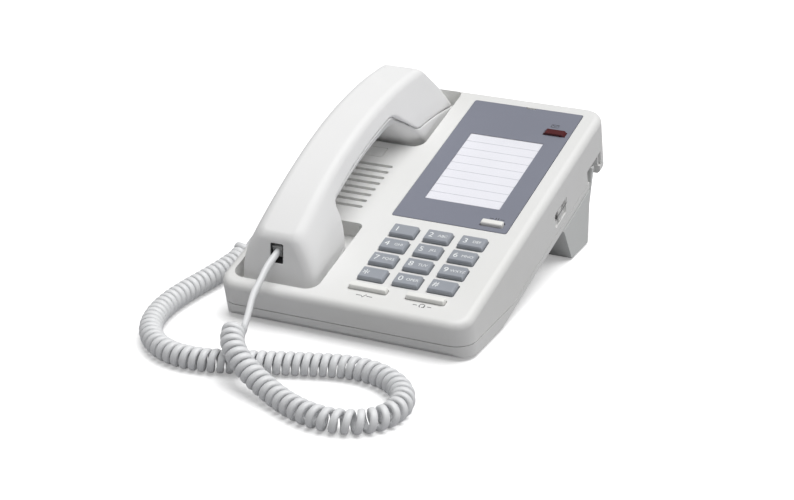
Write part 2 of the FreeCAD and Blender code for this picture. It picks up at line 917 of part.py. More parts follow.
def key_mat():
    """The rubber mat under the keys with a dome below each one."""
    low_v = bar_v - bar_length / 2 - mat_rim
    high_v = keypad_rear_v - fit_gap
    wide = (key_columns - 1) * key_pitch_u + 2 * dome_radius + 2 * mat_rim
    top = board_w + mat_thick
    mat = plate(oblong(keypad_u, (low_v + high_v) / 2, wide, high_v - low_v, board_round), board_w, top)
    domes = []
    for name, u, v in key_places() + bar_places():
        domes.append(Part.makeCone(dome_radius, dome_radius / 2, dome_top - board_w, V(u, v, board_w)))
    post_u, post_v = post_places()[0]
    return fused([mat] + domes).cut(cylinder(post_u, post_v, board_w - cut_over, 0, post_radius + fit_gap))


def hold_switch():
    """The small push switch under the hold button."""
    shoulder = dome_top - hold_pin_stand
    body = plate(oblong(hold_u, hold_v, hold_switch_size, hold_switch_size, jack_round), board_w, shoulder)
    return body.fuse(cylinder(hold_u, hold_v, board_w, dome_top, hold_pin_radius)).removeSplitter()


def main_board():
    """The main circuit board with its screw holes."""
    width = board_right - board_left
    length = board_rear_v - board_front_v
    plan = oblong(board_left + width / 2, board_front_v + length / 2, width, length, board_round)
    holes = [cylinder(u, v, 2 * board_w, 0, board_screw_radius + thread_gap) for u, v in post_places()]
    return plate(plan, board_low, board_w).cut(holes[0].multiFuse(holes[1:]))


def board_screws():
    """Five small screws that hold the board to its posts."""
    tip = board_w + board_screw_bite - cut_over
    screws = []
    for u, v in post_places():
        head = cylinder(u, v, board_low - board_screw_head_thick, board_low, board_screw_head)
        screws.append(head.fuse(cylinder(u, v, board_low, tip, board_screw_radius - thread_depth)))
    return Part.Compound(screws)


# Hook switch, speaker, volume slider, hanger tab


def hook_plunger():
    """The plunger in the rear cup, held down by the handset."""
    top = -handset_sink - fit_gap
    shoulder = plunger_low + plunger_tip_length
    head = plate(oblong(cradle_u, plunger_v, plunger_width, plunger_length, plunger_round), shoulder, top)
    tip_u = plunger_width - 2 * plunger_tip_step
    tip_v = plunger_length - 2 * plunger_tip_step
    tip = plate(oblong(cradle_u, plunger_v, tip_u, tip_v, plunger_round), plunger_low, shoulder + touch)
    stop_high = cup_under - plunger_travel - fit_gap
    stop_plan = oblong(cradle_u, plunger_v, plunger_width + 2 * plunger_stop, plunger_length)
    return fused([head, tip, plate(stop_plan, stop_high - plunger_stop_thick, stop_high)])


def hook_switch():
    """The leaf switch on its post, with the leaf below the plunger."""
    front = plunger_v + plunger_length / 2 + fit_gap
    rear = front + hook_switch_length
    outline = oblong((front + rear) / 2, leaf_top, hook_switch_length, hook_switch_height, jack_round)
    body = side(outline, cradle_u - hook_switch_width / 2, cradle_u + hook_switch_width / 2)
    leaf_front = plunger_v - plunger_length / 2
    leaf_plan = oblong(cradle_u, (leaf_front + rear) / 2, hook_leaf_width, rear - leaf_front)
    return fused([body, plate(leaf_plan, leaf_top - hook_leaf_thick, leaf_top)])


def ringer_speaker():
    """The ringer: flange, cone basket and magnet, hanging under the slots."""
    high = -wall
    bore = speaker_radius - speaker_rim
    profile = [
        (0, high - 2 * speaker_dish), (bore, high - speaker_dish), (bore, high), (speaker_radius, high),
        (speaker_radius, high - speaker_rim_thick), (magnet_radius + basket_step, high - basket_depth),
        (magnet_radius, high - basket_depth), (magnet_radius, high - speaker_height),
        (0, high - speaker_height),
    ]
    corners = [V(cradle_u + r, slot_middle_v, w) for r, w in profile]
    face = Part.Face(Part.makePolygon(corners + corners[:1]))
    return face.revolve(V(cradle_u, slot_middle_v, 0), V(0, 0, 1), 360)


def volume_knob():
    """The knob in its recess with the stem that enters the wall."""
    head_in = half - volume_recess + slide_gap
    outline = oblong(volume_v, volume_w, volume_knob_length, volume_knob_width, volume_rim / 2)
    head = side(outline, head_in, half)
    stem_width = volume_slot_width - 2 * slide_gap
    stem_plan = oblong(volume_v, volume_w, volume_knob_length - 2 * volume_rim, stem_width)
    stem = side(stem_plan, volume_inner - cut_over, head_in + touch)
    grooves = []
    for i in (-1, 0, 1):
        groove = oblong(volume_v + 2 * i * grip_groove, volume_w, grip_groove, 2 * volume_knob_width)
        grooves.append(side(groove, half - grip_groove_depth, half + cut_over))
    return fused([head, stem]).cut(grooves[0].multiFuse(grooves[1:]))


def volume_switch():
    """The slide switch behind the wall, with a groove for the knob's stem; it hangs from the board's edge."""
    outer = volume_inner - slide_gap
    inner = outer - volume_switch_depth
    low = volume_w - volume_switch_drop
    outline = oblong(volume_v, (low + board_low) / 2, volume_switch_length, board_low - low, jack_round)
    body = side(outline, inner, outer)
    foot_plan = oblong(volume_v, board_low - volume_foot / 2, volume_switch_length, volume_foot)
    foot = side(foot_plan, board_right - volume_foot, inner + cut_over)
    groove = oblong(volume_v, volume_w, volume_run, volume_slot_width)
    return fused([body, foot]).cut(side(groove, outer - 2 * cut_over, outer + cut_over))


def tab_plan(gap, flange):
    """The hanger tab's outline, grown by gap and by the step of its flange."""
    v = rear_cup_start - cup_wall - tab_gap_v - tab_length / 2
    grow = 2 * gap + 2 * flange - 2 * tab_flange
    return oblong(cradle_u, v, tab_width + grow, tab_length + grow, tab_round)


def hanger_tab():
    """The reversible tab: a flanged insert with a hook hidden below the deck."""
    face = plate(tab_plan(0, tab_flange), -tab_flange, 0)
    tongue = plate(tab_plan(0, 0), -tab_depth, -tab_flange / 2)
    return fused([face, tongue])


# Jacks and plugs


def line_jack():
    """The line jack: a block below the board with its socket facing back."""
    w = line_jack_middle()
    outline = oblong(line_jack_u, w, line_jack_width, line_jack_height, jack_round)
    block = along(outline, rear_v - line_jack_length, rear_v)
    deep = rear_v - line_socket_depth
    socket = along(oblong(line_jack_u, w, line_socket_width, line_socket_height), deep, rear_v + cut_over)
    key_plan = oblong(line_jack_u, w - line_socket_height / 2, line_key_width, 2 * line_key_depth)
    return block.cut(socket.fuse(along(key_plan, deep, rear_v + cut_over)))


def base_cord_jack():
    """The jack behind the left wall that takes the curly cord."""
    left = -half + wall
    outline = oblong(cord_jack_v, cord_jack_w, cord_jack_size, cord_jack_size, jack_round)
    socket = oblong(cord_jack_v, cord_jack_w, plug_width + 2 * fit_gap, plug_height + 2 * fit_gap)
    deep = -half - plug_stand + plug_length + fit_gap
    return side(outline, left, left + cord_jack_depth).cut(side(socket, left - cut_over, deep))


def cord_plug_base():
    """The cord's plug in the base: clear block with a latch below."""
    left = -half - plug_stand
    right = left + plug_length
    block = side(oblong(cord_jack_v, cord_jack_w, plug_width, plug_height, plug_round), left, right)
    latch = oblong(cord_jack_v, cord_jack_w - plug_height / 2, latch_width, 2 * latch_thick)
    return fused([block, side(latch, left + cut_over, right - 2 * cut_over)])


def cord_plug_handset():
    """The cord's plug in the handset."""
    rear = plug_front_v + plug_length
    block = along(oblong(cradle_u, jack_w, plug_width, plug_height, plug_round), plug_front_v, rear)
    latch = oblong(cradle_u, jack_w - plug_height / 2, latch_width, 2 * latch_thick)
    return fused([block, along(latch, plug_front_v + cut_over, rear - 2 * cut_over)])


# Handset


def top_arc():
    """Middle and radius of the arc that the handset's back follows, in v and w."""
    a = V(top_front_v, top_front_w, 0)
    b = V(top_rear_v, top_rear_w, 0)
    chord = b - a
    radius = chord.Length ** 2 / 8 / top_rise + top_rise / 2
    out = V(-chord.y, chord.x, 0).normalize()
    middle = (a + b) * 0.5 + out * (top_rise - radius)
    return middle.x, middle.y, radius


def swept(section):
    """A section (u, depth below the handset's back) carried along the arc of the back."""
    arc_v, arc_w, radius = top_arc()
    face = rounded_face(section, lambda a, b: V(a, arc_v, arc_w + radius - b))
    spread = math.degrees(handset_length / radius)
    face.rotate(V(0, arc_v, arc_w), V(1, 0, 0), spread)
    return face.revolve(V(0, arc_v, arc_w), V(-1, 0, 0), 2 * spread)


def back_w(v, depth):
    """Height of the handset's back at v, less depth."""
    arc_v, arc_w, radius = top_arc()
    return arc_w + math.sqrt((radius - depth) ** 2 - (v - arc_v) ** 2)


def handset_block(depth):
    """The whole handset as one block, moved inwards by depth."""
    top_half = grip_top_half - depth * math.tan(math.pi / 4 - flare / 2)
    widest = handset_half - depth
    facet_foot = depth + (widest - top_half) / math.tan(flare)
    deep = 3 * facet_depth
    crease = max(crease_round - depth, crease_round / 7)
    section = [
        (cradle_u - widest, deep, 0), (cradle_u - widest, facet_foot, 0),
        (cradle_u - top_half, depth, crease), (cradle_u + top_half, depth, crease),
        (cradle_u + widest, facet_foot, 0), (cradle_u + widest, deep, 0),
    ]
    high = 2 * top_rear_w
    low = -handset_sink
    rear = handset_rear_v + rear_lean * low
    front_low = handset_front_v + front_lean * low
    ends = [
        (front_low, low, end_round), (handset_rear_v, low, end_round),
        (rear - rear_lean * high, high, 0), (handset_front_v + front_lean * high, high, 0),
    ]
    profile = side(inset(ends, depth), cradle_u - 2 * handset_half, cradle_u + 2 * handset_half)
    length = handset_rear_v - front_low - 2 * depth
    plan = oblong(cradle_u, (front_low + handset_rear_v) / 2, 2 * widest, length, handset_corner - depth)
    block = swept(section).common(profile).common(plate(plan, low - cut_over, high + cut_over))
    return block.cut(hand_gap(depth)).cut(belly_cut(depth))


def hand_gap(depth):
    """The space under the grip, with its ends leaning out, grown by depth."""
    low = -2 * handset_sink
    front_v_high = mouth_inner_v + mouth_leg
    rear_v_high = ear_inner_v - ear_leg / 2
    front = V(0, front_v_high - depth, back_w(front_v_high, grip_depth) + depth)
    rear = V(0, rear_v_high + depth, back_w(rear_v_high, grip_depth) + depth)
    crest = V(0, grip_middle_v, back_w(grip_middle_v, grip_depth) + depth)
    foot_rear = V(0, ear_inner_v + leg_spread + depth, low)
    foot_front = V(0, mouth_inner_v - leg_spread / 2 - depth, low)
    arch = Part.Arc(front, crest, rear).toShape()
    rear_leg = Part.makeLine(rear, foot_rear)
    floor = Part.makeLine(foot_rear, foot_front)
    front_leg = Part.makeLine(foot_front, front)
    face = Part.Face(Part.Wire([arch, rear_leg, floor, front_leg]))
    face.translate(V(cradle_u - 2 * handset_half, 0, 0))
    return face.extrude(V(4 * handset_half, 0, 0))


def grip_zone(depth, gap):
    """Side view of the stretch between mouthpiece and earpiece, from the facet's lower edge down."""
    front = mouth_inner_v + mouth_leg - depth - gap
    rear = ear_inner_v - ear_leg + depth + gap
    front_foot = mouth_inner_v - depth - gap
    rear_foot = ear_inner_v - leg_spread + depth + gap
    low = -2 * handset_sink
    high = 3 * facet_depth
    return [
        (front_foot - mouth_leg / 2, low, 0), (rear_foot + ear_leg / 2, low, 0),
        (rear_foot, back_w(rear_foot, facet_depth), 0), (rear, back_w(rear, grip_facet_depth), 0),
        (rear, high, 0), (front, high, 0), (front, back_w(front, grip_facet_depth), 0),
        (front_foot, back_w(front_foot, facet_depth), 0),
    ]


def belly_cut(depth):
    """What is taken off both sides of the grip below its facets, so that its belly draws in."""
    far = 2 * handset_half
    grip_half = grip_top_half + grip_facet_depth * math.tan(flare) - depth
    low_half = belly_half - depth
    zone = side(grip_zone(depth, 0), cradle_u - far, cradle_u + far)
    tools = []
    for hand in (-1, 1):
        section = [
            (cradle_u + hand * grip_half, grip_facet_depth, 0), (cradle_u + hand * far, grip_facet_depth, 0),
            (cradle_u + hand * far, 2 * facet_depth, 0), (cradle_u + hand * low_half, 2 * facet_depth, 0),
            (cradle_u + hand * low_half, grip_depth, 0),
        ]
        tools.append(swept(section).common(zone))
    return tools[0].fuse(tools[1])


def below_depth(depth):
    """Everything deeper than depth below the handset's back."""
    far = 2 * handset_half
    deep = 4 * facet_depth
    return swept([(cradle_u - far, depth, 0), (cradle_u + far, depth, 0),
                  (cradle_u + far, deep, 0), (cradle_u - far, deep, 0)])


def below_seam(gap):
    """Everything below the line where the handset's halves meet."""
    far = 2 * handset_half
    zone = side(grip_zone(0, -gap), cradle_u - far, cradle_u + far)
    return below_depth(facet_depth + gap).fuse(below_depth(grip_facet_depth + gap).common(zone))


def jack_pocket():
    """The opening in the handset's front end round the cord's plug."""
    plan = oblong(cradle_u, jack_w, jack_pocket_width, jack_pocket_height, jack_pocket_round)
    return along(plan, handset_front_v - 2 * jack_inset, jack_front_v + cut_over)


def grip_screw_places():
    """Where the two screws under the grip are: in v, and the height of the belly there."""
    apart = weight_length / 2 + grip_screw_gap
    spots = []
    for v in (grip_middle_v - apart, grip_middle_v + apart):
        spots.append((v, back_w(v, grip_depth)))
    return spots


def handset_back_shell():
    """The flared outer half of the handset, hollow, with the cord's opening at its front end."""
    block = handset_block(0)
    body = [block.cut(handset_block(handset_wall)).cut(below_seam(0))]
    rim = 2 * handset_wall
    frame_plan = oblong(cradle_u, jack_w, handset_jack_width + rim, handset_jack_height + rim)
    body.append(along(frame_plan, jack_front_v - jack_frame, jack_front_v).common(block))
    cuts = [jack_pocket()]
    pilot = grip_screw_radius - thread_depth + thread_gap
    for v, belly in grip_screw_places():
        foot = belly + grip_post_height + fit_gap
        body.append(cylinder(cradle_u, v, foot, back_w(v, handset_wall / 2), grip_boss))
        cuts.append(cylinder(cradle_u, v, foot - cut_over, foot + grip_screw_bite, pilot))
    return fused(body).cut(cuts[0].multiFuse(cuts[1:]))


def sound_holes():
    """The earpiece's ring of holes and the mouthpiece's row of holes."""
    low = -handset_sink - cut_over
    high = -handset_sink + 2 * handset_wall
    spots = [(cradle_u, ear_v)]
    for i in range(ear_hole_count):
        turn = 2 * math.pi * i / ear_hole_count
        spots.append((cradle_u + ear_ring_radius * math.cos(turn), ear_v + ear_ring_radius * math.sin(turn)))
    for i in range(mouth_hole_count):
        spots.append((cradle_u + (i - (mouth_hole_count - 1) / 2) * mouth_hole_pitch, mouth_v))
    return [cylinder(u, v, low, high, sound_hole_radius) for u, v in spots]


def handset_front_shell():
    """The inner half of the handset: belly of the grip, earpiece face and mouthpiece face."""
    body = [handset_block(0).cut(handset_block(handset_wall)).common(below_seam(seam_gap))]
    low = -handset_sink - cut_over
    dish = cylinder(cradle_u, ear_v, low, -handset_sink + ear_dish_depth, ear_dish_radius)
    kept = cylinder(cradle_u, ear_v, low, -handset_sink + handset_wall, ear_dish_radius - ear_dish_width)
    cuts = [dish.cut(kept)] + sound_holes()
    for v, belly in grip_screw_places():
        high = belly + grip_post_height
        body.append(cylinder(cradle_u, v, belly + handset_wall / 2, high, grip_post))
        cuts.append(cylinder(cradle_u, v, belly, high + cut_over, grip_screw_radius + fit_gap))
        well_low = belly - grip_post_height
        cuts.append(cylinder(cradle_u, v, well_low, belly + grip_screw_sink, grip_screw_head + fit_gap))
    return fused(body).cut(cuts[0].multiFuse(cuts[1:]))


def handset_screws():
    """The two screws that hold the handset's halves together, sunk in the belly of the grip."""
    screws = []
    for v, belly in grip_screw_places():
        shoulder = belly + grip_screw_sink
        tip = belly + grip_post_height + grip_screw_bite - cut_over
        head = cylinder(cradle_u, v, shoulder - grip_screw_head_thick, shoulder, grip_screw_head)
        screws.append(head.fuse(cylinder(cradle_u, v, shoulder, tip, grip_screw_radius - thread_depth)))
    return Part.Compound(screws)


def receiver_capsule():
    """The earpiece's receiver: stepped round can."""
    low = -handset_sink + handset_wall + fit_gap / 3
    can = cylinder(cradle_u, ear_v, low, low + receiver_rim, receiver_radius)
    magnet = cylinder(cradle_u, ear_v, low, low + receiver_height, receiver_radius - receiver_step)
    return fused([can, magnet])


def microphone_capsule():
    """The microphone can behind the mouthpiece's holes."""
    low = -handset_sink + handset_wall + fit_gap / 3
    can = cylinder(cradle_u, mouth_v, low, low + mic_height, mic_radius)
    boot = cylinder(cradle_u, mouth_v, low, low + mic_boot_height, mic_radius + mic_boot)
    return fused([can, boot])


def handset_weight():
    """The steel slug that makes the handset press the hook down, lying on the belly of the grip."""
    low = back_w(grip_middle_v, grip_depth - handset_wall) + fit_gap
    outline = oblong(grip_middle_v, low + weight_height / 2, weight_length, weight_height, weight_round)
    return side(outline, cradle_u - weight_width / 2, cradle_u + weight_width / 2)


def handset_jack():
    """The handset's jack behind the opening, with the socket that takes the plug."""
    rear = jack_front_v + handset_jack_length
    plan = oblong(cradle_u, jack_w, handset_jack_width, handset_jack_height, jack_round)
    size_w = plug_height + 2 * fit_gap + 2 * latch_thick
    socket = oblong(cradle_u, jack_w - latch_thick, plug_width + 2 * fit_gap, size_w)
    deep = plug_front_v + plug_length + fit_gap
    return along(plan, jack_front_v, rear).cut(along(socket, jack_front_v - cut_over, deep))


# Cord, as points above the table; the handset's end first


def lead_points():
    """The straight lead from the handset's plug to the coil."""
    out = to_room(cradle_u, plug_front_v, jack_w)
    ahead = to_room(cradle_u, plug_front_v - 13.0, jack_w)
    return [out, ahead, V(-40.3, -116.5, 31.6), V(-38.7, -128.5, 28.3), V(-37.1, -139.5, 25.6)]


def coil_points():
    """The middle line of the curly cord: over itself, a loop on the table, then back along the base."""
    low = coil_outer / 2 + coil_lift
    lead = lead_points()
    start = lead[-1] + (lead[-1] - lead[-2]) * 1.45
    return [
        lead[-1], start, V(-30.2, -166.2, 19.6), V(-21.5, -174.2, 15.6), V(-9.0, -180.0, 10.2),
        V(5.0, -186.0, low), V(21.0, -194.5, low), V(38.0, -198.5, low), V(54.5, -194.5, low),
        V(64.5, -182.0, low), V(65.0, -165.5, low), V(56.0, -151.5, low), V(41.0, -143.0, low),
        V(23.5, -141.5, low), V(6.0, -147.0, low), V(-11.0, -153.0, low), V(-28.0, -159.5, low),
        V(-46.0, -166.0, low), V(-63.5, -166.5, low), V(-79.0, -159.5, low), V(-90.5, -146.5, low),
        V(-97.0, -130.5, low), V(-99.5, -112.5, low), V(-98.6, -94.5, low), V(-96.4, -77.0, low),
        V(-94.8, -61.5, low), V(-94.2, -51.0, low + coil_lift),
    ]


def tail_points():
    """The straight lead from the coil up to the plug in the base."""
    plug_end = to_room(-half - plug_stand, cord_jack_v, cord_jack_w)
    coil = coil_points()
    ahead = coil[-1] + (coil[-1] - coil[-2]) * 0.75
    return [
        coil[-1], ahead, V(-93.4, -35.6, 11.4), V(-91.4, -28.6, 16.6), V(-86.8, -23.2, 21.0),
        plug_end + V(-5.2, 0, 0), plug_end,
    ]


def route_edges(points, name):
    """Straight runs joined by the largest tangent arcs that the runs allow."""
    share = 0.45
    edges = []
    radii = []
    at = points[0]
    for before, here, after in zip(points, points[1:], points[2:]):
        back = before - here
        ahead = after - here
        reach = share * min(back.Length, ahead.Length)
        back.normalize()
        ahead.normalize()
        turn = math.pi - back.getAngle(ahead)
        radius = reach / math.tan(turn / 2)
        start = here + back * reach
        end = here + ahead * reach
        inward = (back + ahead).normalize()
        middle = here + inward * (radius / math.cos(turn / 2) - radius)
        edges.append(Part.makeLine(at, start))
        edges.append(Part.Arc(start, middle, end).toShape())
        radii.append(round(radius, 1))
        at = end
    edges.append(Part.makeLine(at, points[-1]))
    print(name, "bend radii", radii)
    return edges


def tube(edges, name):
    """A round tube along a path; prints its volume beside section times length."""
    path = Part.Wire(edges)
    start = edges[0].valueAt(edges[0].FirstParameter)
    run = edges[0].tangentAt(edges[0].FirstParameter)
    ring = Part.Wire(Part.makeCircle(wire / 2, start, run))
    solid = path.makePipeShell([ring], True, False)
    section = math.pi * wire ** 2 / 4
    print(name, "length", round(path.Length, 1), "volume", round(solid.Volume, 1),
          "section times length", round(section * path.Length, 1))
    return solid


def curl_step(s):
    """Distance between curls at s: wider round the open loop on the table."""
    off = min(max(loop_from - s, s - loop_to, 0) / loop_blend, 1)
    return curl_pitch + (loop_pitch - curl_pitch) * (0.5 + 0.5 * math.cos(math.pi * off))


def coil_line(edges):
    """Points of the curl line, with the middle line's two ends and directions."""
    lengths = [e.Length for e in edges]
    total = sum(lengths)
    margin = coil_run_in * wire
    radius = (coil_outer - wire) / 2

    def middle(s):
        """The middle line at distance s: its point and direction."""
        rest = min(max(s, 0), total)
        for edge, length in zip(edges, lengths):
            if rest <= length or edge is edges[-1]:
                at = edge.getParameterByLength(min(rest, length))
                return edge.valueAt(at), edge.tangentAt(at).normalize()
            rest -= length

    points = []
    s = margin
    phase = 0.0
    normal = V(0, 0, 1)
    while s < total - margin:
        spot, run = middle(s)
        normal = (normal - run * normal.dot(run)).normalize()
        across = run.cross(normal)
        points.append(spot + normal * (radius * math.cos(phase)) + across * (radius * math.sin(phase)))
        s += curl_step(s) / (2 * half_turn_points)
        phase += math.pi / half_turn_points
    return points, middle(0), middle(total)


def biarc(p, t, q, e):
    """Two tangent arcs from p heading along t to q heading along e."""
    span = q - p
    spread = 2 * (1 - t.dot(e))
    lean = span.dot(t + e)
    reach = (math.sqrt(lean * lean + spread * span.dot(span)) - lean) / spread
    first = p + t * reach
    second = q - e * reach
    joint = (first + second) * 0.5
    return [bend(p, first, joint), bend(joint, second, q)]


def bend(start, knee, end):
    """The arc from start to end whose end tangents meet at knee."""
    base = (start + end) * 0.5
    chord = (end - start).Length / 2
    rise = knee - base
    reach = (knee - start).Length
    middle = base + rise * (chord * (reach - chord) / rise.Length ** 2)
    return Part.Arc(start, middle, end).toShape()


def cord_coil():
    """The curly cord: one unbroken tube whose curls wind about the middle line."""
    edges = route_edges(coil_points(), "cord_coil middle line")
    points, (first, first_run), (last, last_run) = coil_line(edges)
    count = (len(points) - 2) // half_turn_points
    enter = first + first_run * wire
    leave = last - last_run * wire
    knots = [(enter, first_run)]
    for i in range(0, count * half_turn_points + 1, half_turn_points):
        before = points[i - 1] if i else points[0] * 2 - points[1]
        knots.append((points[i], (points[i + 1] - before).normalize()))
    knots.append((leave, last_run))
    path = [Part.makeLine(first, enter)]
    for (p, t), (q, e) in zip(knots, knots[1:]):
        path += biarc(p, t, q, e)
    path.append(Part.makeLine(leave, last))
    tight = min(e.Curve.Radius for e in path[1:-1])
    gap = least_gap(points)
    print("cord_coil curls", count / 2, "tightest arc", round(tight, 2), "least gap", round(gap, 2))
    return tube(path, "cord_coil")


def least_gap(points):
    """Smallest gap between stretches of the curl line that are not neighbours along it."""
    near = 3 * half_turn_points // 2
    best = coil_outer
    for i in range(len(points)):
        for j in range(i + near, len(points)):
            best = min(best, points[i].distanceToPoint(points[j]))
    return best - wire


def main():
    """Builds every piece, seats it above the table and writes it to its file."""
    os.makedirs("parts", exist_ok=True)
    on_deck = (
        upper_case, case_screws, face_panel, directory_card, card_window, message_lamp_lens, message_led,
        key_mat, hold_switch, main_board, board_screws, hook_plunger, hook_switch, ringer_speaker,
        volume_knob, volume_switch, hanger_tab, line_jack, base_cord_jack, cord_plug_base, cord_plug_handset,
        handset_back_shell, handset_front_shell, handset_screws, receiver_capsule, microphone_capsule,
        handset_weight, handset_jack,
    )
    pieces = {make.__name__: seat(make()) for make in on_deck}
    for name, u, v in key_places():
        pieces[name] = seat(cap(u, v, key_width, key_length, key_stand, key_bevel))
    for name, u, v in bar_places():
        pieces[name] = seat(cap(u, v, bar_width, bar_length, bar_stand, bar_bevel))
    pieces["hold_button"] = seat(cap(hold_u, hold_v, hold_width, hold_length, hold_stand, bar_bevel))
    for make in (lower_case, desk_stand, rubber_feet, cord_coil):
        pieces[make.__name__] = make()
    for name, points in (("cord_lead_handset", lead_points()), ("cord_lead_base", tail_points())):
        pieces[name] = tube(route_edges(points, name), name)
    for name, shape in pieces.items():
        if not shape.isValid():
            print("not valid:", name)
        shape.exportStep("parts/" + name + ".step")
    print(len(pieces), "pieces")


main()
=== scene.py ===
"""Looks of a corded desk telephone, dressed over its construction model.

Everything is in metres in the model's own frame. Sizes that belong to a piece are fields of its class, in
millimetres where the name says so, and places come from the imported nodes.
"""
import json
import logging
import math
from dataclasses import dataclass, field
from enum import Enum
from typing import Callable, Dict, List, Sequence, Tuple

import bmesh
import bpy
import numpy as np
from mathutils import Matrix, Vector


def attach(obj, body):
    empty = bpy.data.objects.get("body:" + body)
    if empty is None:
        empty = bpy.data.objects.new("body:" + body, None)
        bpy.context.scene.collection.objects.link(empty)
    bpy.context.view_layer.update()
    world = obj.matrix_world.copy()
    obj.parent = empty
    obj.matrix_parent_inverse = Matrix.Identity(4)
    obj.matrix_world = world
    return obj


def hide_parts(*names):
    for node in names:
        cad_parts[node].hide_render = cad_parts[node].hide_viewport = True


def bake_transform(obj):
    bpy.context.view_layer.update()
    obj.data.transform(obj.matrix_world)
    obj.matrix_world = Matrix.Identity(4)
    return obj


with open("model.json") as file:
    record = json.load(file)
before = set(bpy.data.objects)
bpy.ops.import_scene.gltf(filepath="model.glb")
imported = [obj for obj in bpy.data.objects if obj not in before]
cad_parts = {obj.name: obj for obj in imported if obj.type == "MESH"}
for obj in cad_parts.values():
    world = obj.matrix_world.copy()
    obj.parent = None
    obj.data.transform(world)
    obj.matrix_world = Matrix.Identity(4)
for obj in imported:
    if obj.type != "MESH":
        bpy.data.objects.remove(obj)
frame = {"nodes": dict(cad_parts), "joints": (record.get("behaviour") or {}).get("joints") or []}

LOG = logging.getLogger("phone")
MM = 0.001
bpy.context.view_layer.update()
MERGE = 1e-6
SHARP_FROM = math.radians(28)
FLAT_WITHIN = math.radians(0.4)
BEVEL_STEPS = 2
Screen = Tuple[int, int, int]
Colour = Tuple[float, float, float, float]
Place = Tuple[float, float, float]
Well = Tuple[float, float, float]
Faces = List[List[int]]
Grid = np.ndarray
UP = np.array([0.0, 0.0, 1.0])
NODES: Dict[str, bpy.types.Object] = frame["nodes"]


def light_value(screen: Screen) -> Colour:
    """Turns a screen colour into light: the power curve of the screen, channel by channel.

    Args:
        screen: red, green and blue, from 0 to 255.

    Returns:
        The linear colour, opaque.
    """
    share = np.array(screen) / 255.0
    light = np.where(share <= 0.04045, share / 12.92, ((share + 0.055) / 1.055) ** 2.4)
    return (*light.tolist(), 1.0)


def smooth_rise(values: np.ndarray, start: float, end: float) -> np.ndarray:
    """Rises from 0 at start to 1 at end along 3t^2 - 2t^3.

    Args:
        values: where the rise is read.
        start, end: where it begins and ends.

    Returns:
        The rise at each value.
    """
    t = np.clip((values - start) / (end - start), 0.0, 1.0)
    return t * t * (3.0 - 2.0 * t)


def unit(ways: np.ndarray) -> np.ndarray:
    """Brings each row to a length of one."""
    return ways / np.linalg.norm(ways, axis=1)[:, None]


def mesh_points(data: bpy.types.Mesh) -> np.ndarray:
    """The places of a mesh's vertices, one row each."""
    flat = np.empty(len(data.vertices) * 3, dtype=np.float32)
    data.vertices.foreach_get("co", flat)
    return flat.reshape(-1, 3).astype(float)


def node_points(node: str) -> np.ndarray:
    """The places of a node's vertices, one row each."""
    return mesh_points(NODES[node].data)


def move_points(data: bpy.types.Mesh, points: np.ndarray) -> None:
    """Puts a mesh's vertices at new places, one row each."""
    data.vertices.foreach_set("co", points.astype(np.float32).ravel())
    data.update()


def into_scene(name: str, data: bpy.types.ID) -> bpy.types.Object:
    """Puts a mesh, a light or a camera into the scene as a new object."""
    made = bpy.data.objects.new(name, data)
    bpy.context.scene.collection.objects.link(made)
    return made


class Texture(Enum):
    """What a surface's fine relief comes from."""

    MOULDED = "mould_grain"
    DRAWN = "drawn_metal"
    PAPER = "paper_fibre"


class Edge(Enum):
    """How far a moulded edge is eased, in millimetres."""

    SHARP = 0.0
    CRISP = 0.12
    EASED = 0.25


class Wiring:
    """Adds and joins shader nodes in one tree."""

    def __init__(self, tree: bpy.types.NodeTree) -> None:
        """Keeps the tree that the nodes go into."""
        self.tree = tree

    def add(self, kind: str, **inputs: object) -> bpy.types.Node:
        """Adds a node, and sets or joins its inputs.

        Args:
            kind: the node's type.
            inputs: a value or a socket for each named input, with _ for a space.

        Returns:
            The node.
        """
        node = self.tree.nodes.new(kind)
        for name, value in inputs.items():
            self.put(node, name.replace("_", " "), value)
        return node

    def put(self, node: bpy.types.Node, name: str, value: object) -> None:
        """Joins a socket to an enabled input of that name, or sets the input's value."""
        self.fill(next(s for s in node.inputs if s.name == name and s.enabled), value)

    def fill(self, socket: bpy.types.NodeSocket, value: object) -> None:
        """Joins a socket to an input, or sets the input's value."""
        if isinstance(value, bpy.types.NodeSocket):
            self.tree.links.new(value, socket)
        else:
            socket.default_value = value

    def maths(self, operation: str, *values: object) -> bpy.types.NodeSocket:
        """Joins numbers by one operation of arithmetic."""
        node = self.tree.nodes.new("ShaderNodeMath")
        node.operation = operation
        for socket, value in zip(node.inputs, values):
            self.fill(socket, value)
        return node.outputs[0]

    def blend(self, factor: object, first: object, second: object) -> bpy.types.NodeSocket:
        """Mixes two colours by a factor."""
        node = self.tree.nodes.new("ShaderNodeMix")
        node.data_type = "RGBA"
        for name, value in (("Factor", factor), ("A", first), ("B", second)):
            self.put(node, name, value)
        return next(s for s in node.outputs if s.enabled)


